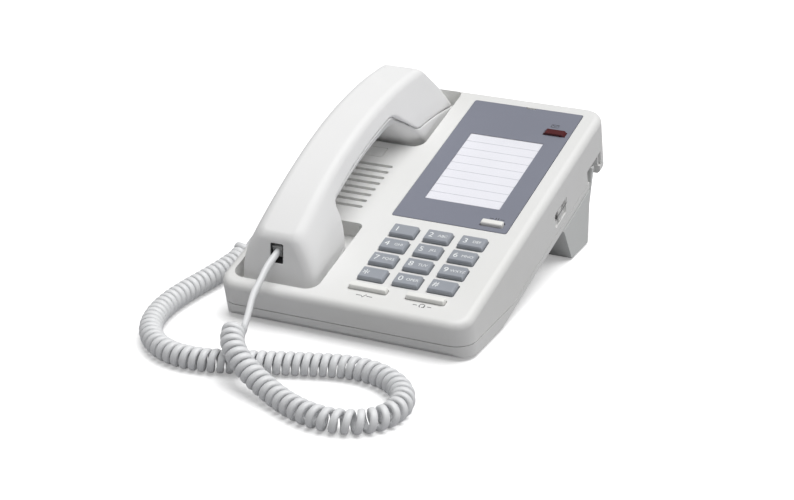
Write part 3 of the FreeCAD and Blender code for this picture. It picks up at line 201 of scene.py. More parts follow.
class Effects:
    """The shader effects that several finishes share, each one node group that is built once."""

    SOCKETS = {"vector": "NodeSocketVector", "colour": "NodeSocketColor", "value": "NodeSocketFloat"}
    RELIEF_TAKES = {"Vector": "vector", "Scale": "value", "Roughness": "value", "Spread": "value"}
    RELIEF_GIVES = {"Roughness": "value", "Height": "value"}

    def __init__(self) -> None:
        """Starts with no group built."""
        self.built: Dict[str, bpy.types.NodeTree] = {}

    def group(self, name: str) -> bpy.types.NodeTree:
        """Gives a group by its name, and builds it the first time."""
        if name not in self.built:
            self.built[name] = getattr(self, name)(name)
        return self.built[name]

    def start(self, name: str, takes: Dict[str, str], gives: Dict[str, str]) -> Tuple[Wiring, Dict, Dict]:
        """Opens a new group with its named sockets.

        Args:
            name: the group's name.
            takes, gives: the kind of each input and output.

        Returns:
            The wiring, the inputs to read and the outputs to join, by name.
        """
        tree = bpy.data.node_groups.new(name, "ShaderNodeTree")
        for label, kind in takes.items():
            tree.interface.new_socket(label, in_out="INPUT", socket_type=self.SOCKETS[kind])
        for label, kind in gives.items():
            tree.interface.new_socket(label, in_out="OUTPUT", socket_type=self.SOCKETS[kind])
        source = tree.nodes.new("NodeGroupInput")
        sink = tree.nodes.new("NodeGroupOutput")
        return Wiring(tree), {s.name: s for s in source.outputs}, {s.name: s for s in sink.inputs}

    @staticmethod
    def relief(wiring: Wiring, read: Dict, give: Dict, height: bpy.types.NodeSocket,
               gloss: bpy.types.NodeSocket, middle: float) -> bpy.types.NodeTree:
        """Ends a group that gives a height and a roughness.

        Args:
            wiring, read, give: what start gave.
            height: the relief.
            gloss: what the roughness drifts by.
            middle: the value of gloss that leaves the roughness as it is.

        Returns:
            The group.
        """
        drift = wiring.maths("MULTIPLY", wiring.maths("SUBTRACT", gloss, middle), read["Spread"])
        wiring.fill(give["Roughness"], wiring.maths("ADD", read["Roughness"], drift))
        wiring.fill(give["Height"], height)
        return wiring.tree

    def tone_drift(self, name: str) -> bpy.types.NodeTree:
        """Lets a colour drift towards a second one in slow, soft clouds."""
        takes = {"Vector": "vector", "Colour": "colour", "Shade": "colour", "Scale": "value",
                 "Amount": "value"}
        wiring, read, give = self.start(name, takes, {"Colour": "colour"})
        noise = wiring.add("ShaderNodeTexNoise", Vector=read["Vector"], Scale=read["Scale"], Detail=4.0)
        spread = wiring.add("ShaderNodeMapRange", Value=noise.outputs["Fac"], From_Min=0.3, From_Max=0.7)
        factor = wiring.maths("MULTIPLY", spread.outputs["Result"], read["Amount"])
        wiring.fill(give["Colour"], wiring.blend(factor, read["Colour"], read["Shade"]))
        return wiring.tree

    def mould_grain(self, name: str) -> bpy.types.NodeTree:
        """The fine pitted grain that a spark-cut mould leaves, with gloss that drifts a little."""
        wiring, read, give = self.start(name, self.RELIEF_TAKES, self.RELIEF_GIVES)
        fine = wiring.add("ShaderNodeTexNoise", Vector=read["Vector"], Scale=read["Scale"], Detail=3.0)
        pits = wiring.add("ShaderNodeTexVoronoi", Vector=read["Vector"], Scale=read["Scale"])
        height = wiring.maths("MULTIPLY_ADD", pits.outputs["Distance"], 0.35, fine.outputs["Fac"])
        slow = wiring.add("ShaderNodeTexNoise", Vector=read["Vector"], Scale=55.0, Detail=2.0)
        return self.relief(wiring, read, give, height, slow.outputs["Fac"], 0.5)

    def drawn_metal(self, name: str) -> bpy.types.NodeTree:
        """Fine lines drawn along one way, as on rolled or turned metal."""
        wiring, read, give = self.start(name, self.RELIEF_TAKES, self.RELIEF_GIVES)
        stretch = wiring.add("ShaderNodeMapping", Vector=read["Vector"], Scale=(1.0, 14.0, 14.0))
        lines = wiring.add("ShaderNodeTexNoise", Vector=stretch.outputs["Vector"], Scale=read["Scale"],
                           Detail=4.0)
        return self.relief(wiring, read, give, lines.outputs["Fac"], lines.outputs["Fac"], 0.5)

    def paper_fibre(self, name: str) -> bpy.types.NodeTree:
        """The felted surface of a paper card: two layers of soft fibre."""
        wiring, read, give = self.start(name, self.RELIEF_TAKES, self.RELIEF_GIVES)
        along = wiring.add("ShaderNodeMapping", Vector=read["Vector"], Scale=(3.0, 1.0, 1.0))
        across = wiring.add("ShaderNodeMapping", Vector=read["Vector"], Scale=(1.0, 3.0, 1.0))
        layers = [wiring.add("ShaderNodeTexNoise", Vector=turn.outputs["Vector"], Scale=read["Scale"],
                             Detail=6.0)
                  for turn in (along, across)]
        felt = wiring.maths("MULTIPLY", layers[0].outputs["Fac"], layers[1].outputs["Fac"])
        return self.relief(wiring, read, give, felt, felt, 0.25)

    def handling_marks(self, name: str) -> bpy.types.NodeTree:
        """Faint smears where hands have been: the bright crests of a slow, bent noise."""
        takes = {"Vector": "vector", "Scale": "value", "Amount": "value"}
        wiring, read, give = self.start(name, takes, {"Mask": "value"})
        noise = wiring.add("ShaderNodeTexNoise", Vector=read["Vector"], Scale=read["Scale"], Detail=5.0,
                           Distortion=1.6)
        crest = wiring.add("ShaderNodeMapRange", Value=noise.outputs["Fac"], From_Min=0.52, From_Max=0.74)
        wiring.fill(give["Mask"], wiring.maths("MULTIPLY", crest.outputs["Result"], read["Amount"]))
        return wiring.tree

    def ruled_rows(self, name: str) -> bpy.types.NodeTree:
        """Thin printed rules: 1 where the fraction of the place over the pitch is under the rule's share."""
        takes = {"Place": "value", "Pitch": "value", "Share": "value"}
        wiring, read, give = self.start(name, takes, {"Mask": "value"})
        turn = wiring.maths("FRACT", wiring.maths("DIVIDE", read["Place"], read["Pitch"]))
        wiring.fill(give["Mask"], wiring.maths("LESS_THAN", turn, read["Share"]))
        return wiring.tree


EFFECTS = Effects()


@dataclass(frozen=True)
class Finish:
    """One finish: its colours, its gloss and the relief of its surface."""

    name: str
    slot: str
    colour: Screen
    shade: Screen
    roughness: float
    texture: Texture = Texture.MOULDED
    drift: float = 0.5
    drift_scale: float = 18.0
    grain_scale: float = 2200.0
    grain_height_mm: float = 0.02
    grain_strength: float = 0.25
    spread: float = 0.08
    marks: float = 0.15
    marks_scale: float = 42.0
    metallic: float = 0.0
    ior: float = 1.49
    coat: float = 0.0
    transmission: float = 0.0
    alpha: float = 1.0

    def material(self) -> bpy.types.Material:
        """Gives the finish's material, and builds it the first time."""
        return bpy.data.materials.get(self.name) or self.build()

    def build(self) -> bpy.types.Material:
        """Builds the material: drifting colour, grain and marks feed one Principled shader.

        Returns:
            The new material.
        """
        made = bpy.data.materials.new(self.name)
        made.use_nodes = True
        wiring = Wiring(made.node_tree)
        shader = made.node_tree.nodes["Principled BSDF"]
        place = wiring.add("ShaderNodeTexCoord").outputs["Object"]
        colour = self.colouring(wiring, place)
        marks = self.effect(wiring, "handling_marks", Vector=place, Scale=self.marks_scale,
                            Amount=self.marks)
        grain = self.effect(wiring, self.texture.value, Vector=place, Scale=self.grain_scale,
                            Roughness=self.roughness, Spread=self.spread)
        gloss = wiring.maths("ADD", grain.outputs["Roughness"], marks.outputs["Mask"])
        bump = wiring.add("ShaderNodeBump", Strength=self.grain_strength, Distance=self.grain_height_mm * MM,
                          Height=grain.outputs["Height"])
        wiring.put(shader, "Base Color", colour)
        wiring.put(shader, "Roughness", gloss)
        wiring.put(shader, "Normal", bump.outputs["Normal"])
        for socket, value in self.constants().items():
            shader.inputs[socket].default_value = value
        return made

    def constants(self) -> Dict[str, object]:
        """The numbers that are the same all over the surface, by the shader's socket."""
        return {"Metallic": self.metallic, "IOR": self.ior, "Coat Weight": self.coat, "Alpha": self.alpha,
                "Transmission Weight": self.transmission, "Emission Color": light_value(self.colour)}

    def colouring(self, wiring: Wiring, place: bpy.types.NodeSocket) -> bpy.types.NodeSocket:
        """The drifting base colour."""
        drift = self.effect(wiring, "tone_drift", Vector=place, Colour=light_value(self.colour),
                            Shade=light_value(self.shade), Scale=self.drift_scale, Amount=self.drift)
        return drift.outputs["Colour"]

    @staticmethod
    def effect(wiring: Wiring, name: str, **inputs: object) -> bpy.types.Node:
        """Places a shared effect in the material, with its own values."""
        node = wiring.tree.nodes.new("ShaderNodeGroup")
        node.node_tree = EFFECTS.group(name)
        for socket, value in inputs.items():
            wiring.put(node, socket, value)
        return node


@dataclass(frozen=True)
class RuledPaper(Finish):
    """White card with thin grey rules across it, one to a row."""

    rule: Screen = (172, 174, 184)
    rule_share: float = 0.045
    row_mm: float = 7.53
    tilt: float = 0.0
    first_v: float = 0.0

    def colouring(self, wiring: Wiring, place: bpy.types.NodeSocket) -> bpy.types.NodeSocket:
        """The paper's colour, with the rules laid over it in the deck's own direction."""
        paper = super().colouring(wiring, place)
        flat = wiring.add("ShaderNodeMapping", Vector=place, Rotation=(-self.tilt, 0.0, 0.0))
        parts = wiring.add("ShaderNodeSeparateXYZ", Vector=flat.outputs["Vector"])
        along = wiring.maths("SUBTRACT", parts.outputs["Y"], self.first_v)
        rows = self.effect(wiring, "ruled_rows", Place=along, Pitch=self.row_mm * MM, Share=self.rule_share)
        return wiring.blend(rows.outputs["Mask"], paper, light_value(self.rule))


@dataclass(frozen=True)
class FloorPaper(Finish):
    """Studio paper that the camera sees white, and that throws less light back at the object."""

    thrown: Screen = (184, 184, 186)
    lift: float = 0.3

    def colouring(self, wiring: Wiring, place: bpy.types.NodeSocket) -> bpy.types.NodeSocket:
        """The paper's own colour for the camera, and a greyer one for light that bounces."""
        seen = wiring.add("ShaderNodeLightPath").outputs["Is Camera Ray"]
        return wiring.blend(seen, light_value(self.thrown), super().colouring(wiring, place))

    def build(self) -> bpy.types.Material:
        """Builds the paper, and lets the camera see it a little brighter, so that its shadows stay pale."""
        made = super().build()
        wiring = Wiring(made.node_tree)
        seen = wiring.add("ShaderNodeLightPath").outputs["Is Camera Ray"]
        glow = wiring.maths("MULTIPLY", seen, self.lift)
        wiring.put(made.node_tree.nodes["Principled BSDF"], "Emission Strength", glow)
        return made


@dataclass(frozen=True)
class DeckFrame:
    """The tilted frame of the deck: u to the right, v back along the deck, w square out of it.

    It shares the room's origin, so the two differ by one turn about X.
    """

    tilt: float

    @classmethod
    def of_lift(cls, joint: str) -> "DeckFrame":
        """Reads the tilt from the joint that lifts square out of the deck."""
        axis = next(j["axis"] for j in frame["joints"] if j["name"] == joint)
        return cls(math.atan2(-axis[1], axis[2]))

    def turn(self) -> np.ndarray:
        """The matrix that takes u, v, w to x, y, z."""
        c, s = math.cos(self.tilt), math.sin(self.tilt)
        return np.array([[1.0, 0.0, 0.0], [0.0, c, -s], [0.0, s, c]])

    def to_room(self, points: np.ndarray) -> np.ndarray:
        """Turns rows of u, v, w into rows of x, y, z."""
        return points @ self.turn().T

    def from_room(self, points: np.ndarray) -> np.ndarray:
        """Turns rows of x, y, z into rows of u, v, w."""
        return points @ self.turn()

    def box(self, node: str) -> Tuple[np.ndarray, np.ndarray]:
        """The lowest and highest corners of a node along u, v and w."""
        points = self.from_room(node_points(node))
        return points.min(axis=0), points.max(axis=0)


DECK = DeckFrame.of_lift("handset_lift")

CASE_WHITE = Finish("case_white", "case_plastic", (231, 231, 230), (225, 225, 222), 0.42)
STAND_WHITE = Finish("stand_white", "stand_plastic", (215, 217, 216), (208, 210, 207), 0.46)
HANDSET_WHITE = Finish("handset_white", "handset_plastic", (239, 239, 239), (235, 235, 234), 0.56,
                       grain_strength=0.16, marks=0.1)
KEY_GREY = Finish("key_grey", "key_plastic", (156, 160, 168), (148, 153, 160), 0.4)
BUTTON_WHITE = Finish("button_white", "button_plastic", (238, 238, 235), (232, 232, 228), 0.38)
PANEL_BLUE_GREY = Finish("panel_blue_grey", "panel_plastic", (126, 129, 142), (121, 124, 137), 0.5,
                         grain_scale=1500.0, grain_strength=0.3)
FOOT_RUBBER = Finish("foot_rubber_black", "foot_rubber", (52, 53, 54), (38, 38, 40), 0.8)
MAT_RUBBER = Finish("mat_rubber_grey", "mat_rubber", (120, 122, 120), (104, 106, 104), 0.75)
SCREW_STEEL = Finish("screw_zinc", "screw_steel", (178, 180, 184), (150, 150, 146), 0.35,
                     Texture.DRAWN, metallic=1.0, grain_scale=900.0)
CAN_STEEL = Finish("can_steel", "speaker_steel", (150, 152, 154), (120, 122, 124), 0.4,
                   Texture.DRAWN, metallic=1.0, grain_scale=700.0)
WEIGHT_STEEL = Finish("weight_steel_grey", "weight_steel", (128, 128, 130), (98, 96, 92), 0.5,
                      Texture.DRAWN, metallic=1.0, grain_scale=500.0)
BOARD_TAN = Finish("board_tan", "circuit_board", (166, 128, 78), (142, 106, 62), 0.5)
SWITCH_GREY = Finish("switch_grey", "switch_plastic", (206, 206, 200), (190, 190, 184), 0.45)
JACK_BLACK = Finish("jack_black", "jack_plastic", (34, 35, 37), (24, 24, 26), 0.4)
PLUG_CLEAR = Finish("plug_clear", "plug_clear", (96, 100, 102), (84, 88, 90), 0.12,
                    transmission=0.95, ior=1.58)
CORD_VINYL = Finish("cord_vinyl_white", "cord_vinyl", (229, 230, 231), (221, 222, 224), 0.38,
                    grain_scale=1400.0, grain_strength=0.18)
WINDOW_CLEAR = Finish("window_clear", "clear_window", (246, 247, 250), (238, 239, 244), 0.14,
                      alpha=0.1, marks=0.05)
LENS_RED = Finish("lens_red", "red_lens", (86, 14, 21), (66, 8, 14), 0.16, coat=0.4,
                  grain_strength=0.05)
DIODE_RED = Finish("diode_red", "lamp_diode", (190, 40, 40), (150, 24, 28), 0.2)
INK_WHITE = Finish("ink_white", "key_plastic", (238, 240, 240), (226, 228, 228), 0.55)
INK_DARK = Finish("ink_dark", "case_plastic", (62, 64, 68), (48, 50, 54), 0.6)


class Shapes:
    """Surfaces worked out as whole arrays, and the meshes made of them."""

    @staticmethod
    def quads(rows: int, columns: int, closed: bool) -> Faces:
        """The faces between neighbouring rows and columns of a grid of points.

        Args:
            rows, columns: the grid's counts.
            closed: whether the last column joins the first.

        Returns:
            Four point numbers for each face.
        """
        across = columns if closed else columns - 1
        i, j = np.meshgrid(np.arange(rows - 1), np.arange(across), indexing="ij")
        k = (j + 1) % columns
        corners = [i * columns + j, i * columns + k, (i + 1) * columns + k, (i + 1) * columns + j]
        return np.stack(corners, -1).reshape(-1, 4).tolist()

    @staticmethod
    def tube(rings: int, around: int) -> Faces:
        """The faces of a tube of rings that is closed at both ends.

        Args:
            rings, around: how many rings there are, and how many points each has.

        Returns:
            The point numbers of each face, the first and the last ring's at the end.
        """
        last = (rings - 1) * around
        ends = [list(range(around))[::-1], list(range(last, last + around))]
        return Shapes.quads(rings, around, True) + ends

    @staticmethod
    def rounded_oblong(width: np.ndarray, length: np.ndarray, radius: np.ndarray,
                       per_corner: int) -> np.ndarray:
        """Rings of rounded oblongs: each corner is a quarter circle about its own centre.

        Args:
            width, length, radius: one value for each ring.
            per_corner: points on each quarter circle.

        Returns:
            Points of shape (rings, 4 * per_corner, 2).
        """
        turn = np.linspace(0.0, math.pi / 2, per_corner)
        angle = (np.arange(4)[:, None] * math.pi / 2 + turn).ravel()
        sign_a = np.repeat(np.array([1.0, -1.0, -1.0, 1.0]), per_corner)
        sign_b = np.repeat(np.array([1.0, 1.0, -1.0, -1.0]), per_corner)
        a = sign_a * (width / 2 - radius)[:, None] + radius[:, None] * np.cos(angle)
        b = sign_b * (length / 2 - radius)[:, None] + radius[:, None] * np.sin(angle)
        return np.stack([a, b], -1)

    @staticmethod
    def raised(rings: np.ndarray, heights: np.ndarray) -> np.ndarray:
        """Sets flat rings at heights of their own, and gives one row of three for each point."""
        tall = np.broadcast_to(heights[:, None, None], rings.shape[:2] + (1,))
        return np.concatenate([rings, tall], -1).reshape(-1, 3)

    @staticmethod
    def mesh(name: str, points: np.ndarray, faces: Faces) -> bpy.types.Object:
        """Puts points and faces into a new smooth-shaded mesh object in the scene.

        Args:
            name: the piece's name.
            points: one row for each vertex, in metres.
            faces: the vertex numbers of each face.

        Returns:
            The new object.
        """
        data = bpy.data.meshes.new(name)
        data.from_pydata(points.tolist(), [], faces)
        data.update()
        data.shade_smooth()
        return into_scene(name, data)

    @staticmethod
    def turn_out(piece: bpy.types.Object, merge: bool) -> None:
        """Turns a closed piece's faces out and shades them flat, and merges doubled points if asked."""
        work = bmesh.new()
        work.from_mesh(piece.data)
        if merge:
            bmesh.ops.remove_doubles(work, verts=work.verts[:], dist=MERGE)
        bmesh.ops.recalc_face_normals(work, faces=work.faces[:])
        work.to_mesh(piece.data)
        work.free()
        piece.data.shade_flat()

    @staticmethod
    def letters(name: str, text: str, height: float, thick: float) -> bpy.types.Mesh:
        """Flat lettering, centred on the origin.

        Args:
            name: a name for the passing objects.
            text: what is written.
            height: the size of the type in metres.
            thick: half the thickness of the ink.

        Returns:
            The mesh, to be placed by the caller.
        """
        curve = bpy.data.curves.new(name, "FONT")
        curve.body = text
        curve.size = height
        curve.extrude = thick
        curve.align_x = "CENTER"
        curve.align_y = "CENTER"
        carrier = bpy.data.objects.new(name, curve)
        data = bpy.data.meshes.new_from_object(carrier)
        bpy.data.objects.remove(carrier)
        bpy.data.curves.remove(curve)
        return data


def dress(piece: bpy.types.Object, finish: Finish, body: str,
          replaces: Sequence[str] = ()) -> bpy.types.Object:
    """Gives a new piece its finish, its body and the nodes that it stands for.

    Args:
        piece: the piece.
        finish: what it is made of.
        body: the body that carries it.
        replaces: the nodes that it hides.

    Returns:
        The same piece.
    """
    piece.data.materials.clear()
    piece.data.materials.append(finish.material())
    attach(piece, body)
    if replaces:
        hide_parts(*replaces)
    LOG.info("%s: %d faces, on %s", piece.name, len(piece.data.polygons), body)
    return piece


def recolour(node: str, finish: Finish) -> None:
    """Gives a node that keeps its own shape a finish."""
    target = NODES[node]
    target.data.materials.clear()
    target.data.materials.append(finish.material())
    LOG.info("%s: finished as %s", node, finish.name)


def eased_copy(node: str, finish: Finish, body: str, edge: Edge) -> bpy.types.Object:
    """Replaces a node by a merged copy whose sharp edges are eased, as a mould's are.

    Args:
        node: the node that is copied.
        finish: what it is made of.
        body: the body that carries it.
        edge: how far its edges are eased.

    Returns:
        The new piece.
    """
    source = NODES[node].data
    data = bpy.data.meshes.new(node + "_eased")
    corners = np.empty(len(source.loops), dtype=np.int32)
    source.loops.foreach_get("vertex_index", corners)
    data.from_pydata(node_points(node).tolist(), [], corners.reshape(-1, 3).tolist())
    work = bmesh.new()
    work.from_mesh(data)
    bmesh.ops.remove_doubles(work, verts=work.verts[:], dist=MERGE)
    if edge is not Edge.SHARP:
        bmesh.ops.dissolve_limit(work, angle_limit=FLAT_WITHIN, verts=work.verts[:], edges=work.edges[:])
    work.to_mesh(data)
    work.free()
    data.shade_smooth()
    data.set_sharp_from_angle(angle=SHARP_FROM)
    piece = into_scene(node + "_eased", data)
    if edge is not Edge.SHARP:
        bevel = piece.modifiers.new("eased edges", "BEVEL")
        bevel.width = edge.value * MM
        bevel.segments = BEVEL_STEPS
        bevel.limit_method = "ANGLE"
        bevel.angle_limit = SHARP_FROM
        bevel.use_clamp_overlap = True
    normals = piece.modifiers.new("flat faces stay flat", "WEIGHTED_NORMAL")
    normals.keep_sharp = True
    return dress(piece, finish, body, [node])


@dataclass
class BaseCase:
    """The two halves of the case, the stand, the feet and the small sliding parts."""

    mouldings: Dict[str, Tuple[Finish, str, Edge]] = field(default_factory=lambda: {
        "upper_case": (CASE_WHITE, "base", Edge.SHARP),
        "lower_case": (CASE_WHITE, "base", Edge.SHARP),
        "desk_stand": (STAND_WHITE, "base", Edge.SHARP),
        "rubber_feet": (FOOT_RUBBER, "base", Edge.EASED),
        "hanger_tab": (CASE_WHITE, "hanger_tab", Edge.CRISP),
        "volume_knob": (CASE_WHITE, "volume_knob", Edge.CRISP),
    })
    cup_half_mm: float = 25.25
    cup_round_mm: float = 7.5
    tight_round_mm: float = 3.6
    cup_depth_mm: float = 10.0
    cup_floor_spare_mm: float = 0.6
    near_mm: float = 0.05
    corner_least_mm: float = 0.5
    deck_length_mm: float = 209.2
    front_cup_rear_mm: float = 63.5
    front_cup_shift_mm: float = 1.6
    shift_reach_mm: Tuple[float, float] = (25.0, 6.0)
    rear_cup_rear_mm: float = 206.0
    slot_count: int = 8
    slot_pitch_mm: float = 5.84
    slot_first_mm: float = 79.8
    slot_size_mm: Tuple[float, float] = (34.5, 2.4)
    slot_floor_mm: float = 2.1
    slot_thick_mm: float = 0.5
    slot_end_spare_mm: float = 0.02
    slot_corner_points: int = 6

    def build(self) -> None:
        """Makes the eased copies, tightens the cups' rear corners and lays the floors of the slots."""
        for node, (finish, body, edge) in self.mouldings.items():
            piece = eased_copy(node, finish, body, edge)
            if node == "upper_case":
                self.tighten_cups(piece)
        self.slot_floors()

    def origin(self) -> np.ndarray:
        """The cups' middle across, the deck's front edge and the deck's surface, in the deck's frame."""
        low, high = DECK.box("handset_back_shell")
        top = DECK.box("upper_case")[1]
        return np.array([(low[0] + high[0]) / 2, top[1] - self.deck_length_mm * MM, top[2]])

    def tighten_cups(self, piece: bpy.types.Object) -> None:
        """Moves the points of each cup's rear corners out, from a wide quarter circle to a tighter one.

        Along each way from the wide circle's centre, a point is moved by the ratio of two distances: to the
        outline with the tight corner, and to the wide circle. The front cup's rear wall also moves back.
        """
        points = (DECK.from_room(mesh_points(piece.data)) - self.origin()) / MM
        near, wide = self.near_mm, self.cup_round_mm
        middle = self.cup_half_mm - wide
        within = (points[:, 2] < near) & (points[:, 2] > -self.cup_depth_mm - self.cup_floor_spare_mm)
        for rear, shift in ((self.front_cup_rear_mm, self.front_cup_shift_mm), (self.rear_cup_rear_mm, 0.0)):
            across = np.abs(points[:, 0]) - middle
            along = points[:, 1] - (rear - wide)
            far = np.hypot(across, along)
            corner = within & (across > 0) & (along > 0) & (far < wide + near) & (far > self.corner_least_mm)
            ways = np.stack([across, along], -1)[corner] / far[corner][:, None]
            moved = ways * (far[corner] * self.tight_reach(ways) / wide)[:, None]
            points[corner, 0] = np.sign(points[corner, 0]) * (moved[:, 0] + middle)
            points[corner, 1] = moved[:, 1] + rear - wide
            cup = within & (np.abs(points[:, 0]) < self.cup_half_mm + near) & (points[:, 1] < rear + near)
            start, end = (rear - reach for reach in self.shift_reach_mm)
            points[cup, 1] += shift * smooth_rise(points[cup, 1], start, end)
        move_points(piece.data, DECK.to_room(points * MM + self.origin()))

    def tight_reach(self, ways: np.ndarray) -> np.ndarray:
        """Distance from the wide circle's centre to the outline with the tight corner, along unit ways."""
        wide, tight = self.cup_round_mm, self.tight_round_mm
        centre = wide - tight
        middle = centre * ways.sum(axis=1)
        arc = middle + np.sqrt(np.maximum(middle ** 2 - 2 * centre ** 2 + tight ** 2, 0.0))
        flat = wide / ways.max(axis=1)
        return np.where(flat * ways.min(axis=1) <= centre, flat, arc)

    def slot_floors(self) -> bpy.types.Object:
        """The floors of the speaker's slots: one rounded oblong plate in each slot, as rings of a small loft.

        Returns:
            All the floors as one piece.
        """
        long, wide = self.slot_size_mm
        corner = np.full(2, wide / 2 - self.slot_end_spare_mm)
        rings = Shapes.rounded_oblong(np.full(2, long), np.full(2, wide), corner, self.slot_corner_points)
        plate = Shapes.raised(rings, np.array([-self.slot_thick_mm, 0.0]) - self.slot_floor_mm)
        faces = Shapes.tube(*rings.shape[:2])
        places = self.slot_first_mm + self.slot_pitch_mm * np.arange(self.slot_count)
        steps = np.stack([np.zeros_like(places), places, np.zeros_like(places)], -1)
        points = (plate + steps[:, None]).reshape(-1, 3)
        every = [[point + len(plate) * i for point in face] for i in range(self.slot_count) for face in faces]
        piece = Shapes.mesh("speaker_slot_floors", DECK.to_room(points * MM + self.origin()), every)
        piece.data.shade_flat()
        return dress(piece, CASE_WHITE, "base")


@dataclass
class Keypad:
    """Twelve dished key caps with their numbers, and three plain buttons."""

    layout: Dict[str, Tuple[str, str]] = field(default_factory=lambda: {
        "key_1": ("1", ""), "key_2": ("2", "ABC"), "key_3": ("3", "DEF"),
        "key_4": ("4", "GHI"), "key_5": ("5", "JKL"), "key_6": ("6", "MNO"),
        "key_7": ("7", "PQRS"), "key_8": ("8", "TUV"), "key_9": ("9", "WXYZ"),
        "key_star": ("*", ""), "key_0": ("0", "OPER"), "key_hash": ("#", ""),
    })
    flange_mm: float = 1.0
    flange_thick_mm: float = 1.2
    corner_mm: float = 0.7
    corner_least_mm: float = 0.3
    corner_points: int = 6
    top_rings: Tuple[float, ...] = (0.8, 0.55, 0.3, 0.1)
    key_bevel_mm: float = 0.7
    bar_bevel_mm: float = 0.5
    ease_share: float = 0.18
    shoulder_share: float = 0.8
    dish_mm: float = 0.22
    taper_mm: float = 0.18
    key_sink_mm: float = 1.0
    digit_mm: float = 5.6
    star_mm: float = 8.6
    letter_mm: float = 2.9
    digit_across: float = -0.58
    letter_across: float = 0.42
    ink_mm: float = 0.02

    def build(self) -> None:
        """Makes every cap and its lettering."""
        for node, (digit, letters) in self.layout.items():
            self.cap(node, KEY_GREY, self.key_bevel_mm, self.dish_mm, self.key_sink_mm)
            self.letter(node, digit, letters)
        for node in ("flash_button", "redial_button", "hold_button"):
            self.cap(node, BUTTON_WHITE, self.bar_bevel_mm, 0.0, 0.0)

    def profile(self, height: float, bevel: float) -> np.ndarray:
        """The cap's side from its flange up: rows of inset and height, in metres.

        The flange is a square step. The side leans in evenly, and the bevel's two edges are eased by
        short chords.

        Args:
            height: from the cap's underside to its top.
            bevel: the width of the sloping shoulder.

        Returns:
            One row for each ring.
        """
        flange = -self.flange_mm * MM
        step = self.flange_thick_mm * MM
        lean = self.taper_mm * MM
        ease = self.ease_share * bevel
        shoulder = height - bevel
        inner = lean + self.shoulder_share * bevel
        rows = [
            (flange, 0.0), (flange, step), (0.0, step), (0.0, step + ease),
            (lean - 0.1 * ease, shoulder - ease), (lean, shoulder - 0.3 * ease),
            (lean + 0.35 * ease, shoulder + 0.35 * ease),
            (lean + 0.5 * bevel, shoulder + 0.62 * bevel),
            (inner - ease, height - 1.1 * ease), (inner, height - 0.35 * ease), (inner + ease, height),
        ]
        return np.array(rows)

    def cap(self, node: str, finish: Finish, bevel_mm: float, dish_mm: float,
            sink_mm: float) -> bpy.types.Object:
        """One cap: rings of rounded oblongs carried up a profile, then in to the middle of a dished top.

        The dish drops by depth times 1 - r^2, where r runs from 1 at the rim to 0 in the middle.

        Args:
            node: the node that the cap replaces.
            finish: what it is made of.
            bevel_mm: the width of its shoulder.
            dish_mm: how far its middle drops.
            sink_mm: how far its rim lies below the node's top.

        Returns:
            The cap.
        """
        low, high = DECK.box(node)
        middle = (low + high) / 2
        size = high - low - 2 * self.flange_mm * MM
        side = self.profile(high[2] - low[2] - sink_mm * MM, bevel_mm * MM)
        shrink = np.array(self.top_rings)
        inset = np.concatenate([side[:, 0], np.full(len(shrink), side[-1, 0])])
        scale = np.concatenate([np.ones(len(side)), shrink])
        corner = np.clip(self.corner_mm * MM - inset / 2, self.corner_least_mm * MM, None)
        rings = Shapes.rounded_oblong(size[0] - 2 * inset, size[1] - 2 * inset, corner, self.corner_points)
        rings = rings * scale[:, None, None]
        height = np.concatenate([side[:, 1], side[-1, 1] - dish_mm * MM * (1.0 - shrink ** 2)])
        points = Shapes.raised(rings, height) + np.array([middle[0], middle[1], low[2]])
        piece = Shapes.mesh(node + "_cap", DECK.to_room(points), Shapes.tube(*rings.shape[:2]))
        return dress(piece, finish, node, [node])

    def letter(self, node: str, digit: str, letters: str) -> None:
        """Lays the number on the left of the cap and its letters on the right, following the dish.

        Args:
            node: the key.
            digit: the number, star or hash.
            letters: its letters, if it has any.
        """
        low, high = DECK.box(node)
        middle = (low + high) / 2
        half = (high - low)[:2] / 2 - self.flange_mm * MM - self.key_bevel_mm * MM
        marks = [("digit", digit, self.star_mm if digit == "*" else self.digit_mm, self.digit_across)]
        if letters:
            marks.append(("letters", letters, self.letter_mm, self.letter_across))
        for kind, text, size, across in marks:
            data = Shapes.letters(node + "_" + kind, text, size * MM, self.ink_mm * MM)
            points = mesh_points(data)
            points[:, :2] -= (points[:, :2].min(axis=0) + points[:, :2].max(axis=0)) / 2
            points[:, 0] += across * half[0]
            rim = np.clip(np.abs(points[:, :2]) / half, 0.0, 1.0).max(axis=1)
            points[:, 2] += high[2] - low[2] - (self.key_sink_mm + self.dish_mm * (1.0 - rim ** 2)) * MM
            points += np.array([middle[0], middle[1], low[2]])
            move_points(data, DECK.to_room(points))
            dress(into_scene(node + "_" + kind, data), INK_WHITE, node)


@dataclass
class FacePanel:
    """The plate on the deck, with its card, its window and its red lamp."""

    card_rows: int = 9

    def build(self) -> None:
        """Eases the plate and dresses what it holds."""
        eased_copy("face_panel", PANEL_BLUE_GREY, "base", Edge.CRISP)
        low, high = DECK.box("directory_card")
        row = (high[1] - low[1]) / self.card_rows / MM
        card = RuledPaper("card_ruled", "card_paper", (240, 240, 246), (234, 234, 241), 0.7, Texture.PAPER,
                          grain_scale=900.0, row_mm=row, tilt=DECK.tilt, first_v=low[1])
        recolour("directory_card", card)
        recolour("card_window", WINDOW_CLEAR)
        recolour("message_led", DIODE_RED)
        eased_copy("message_lamp_lens", LENS_RED, "base", Edge.EASED)


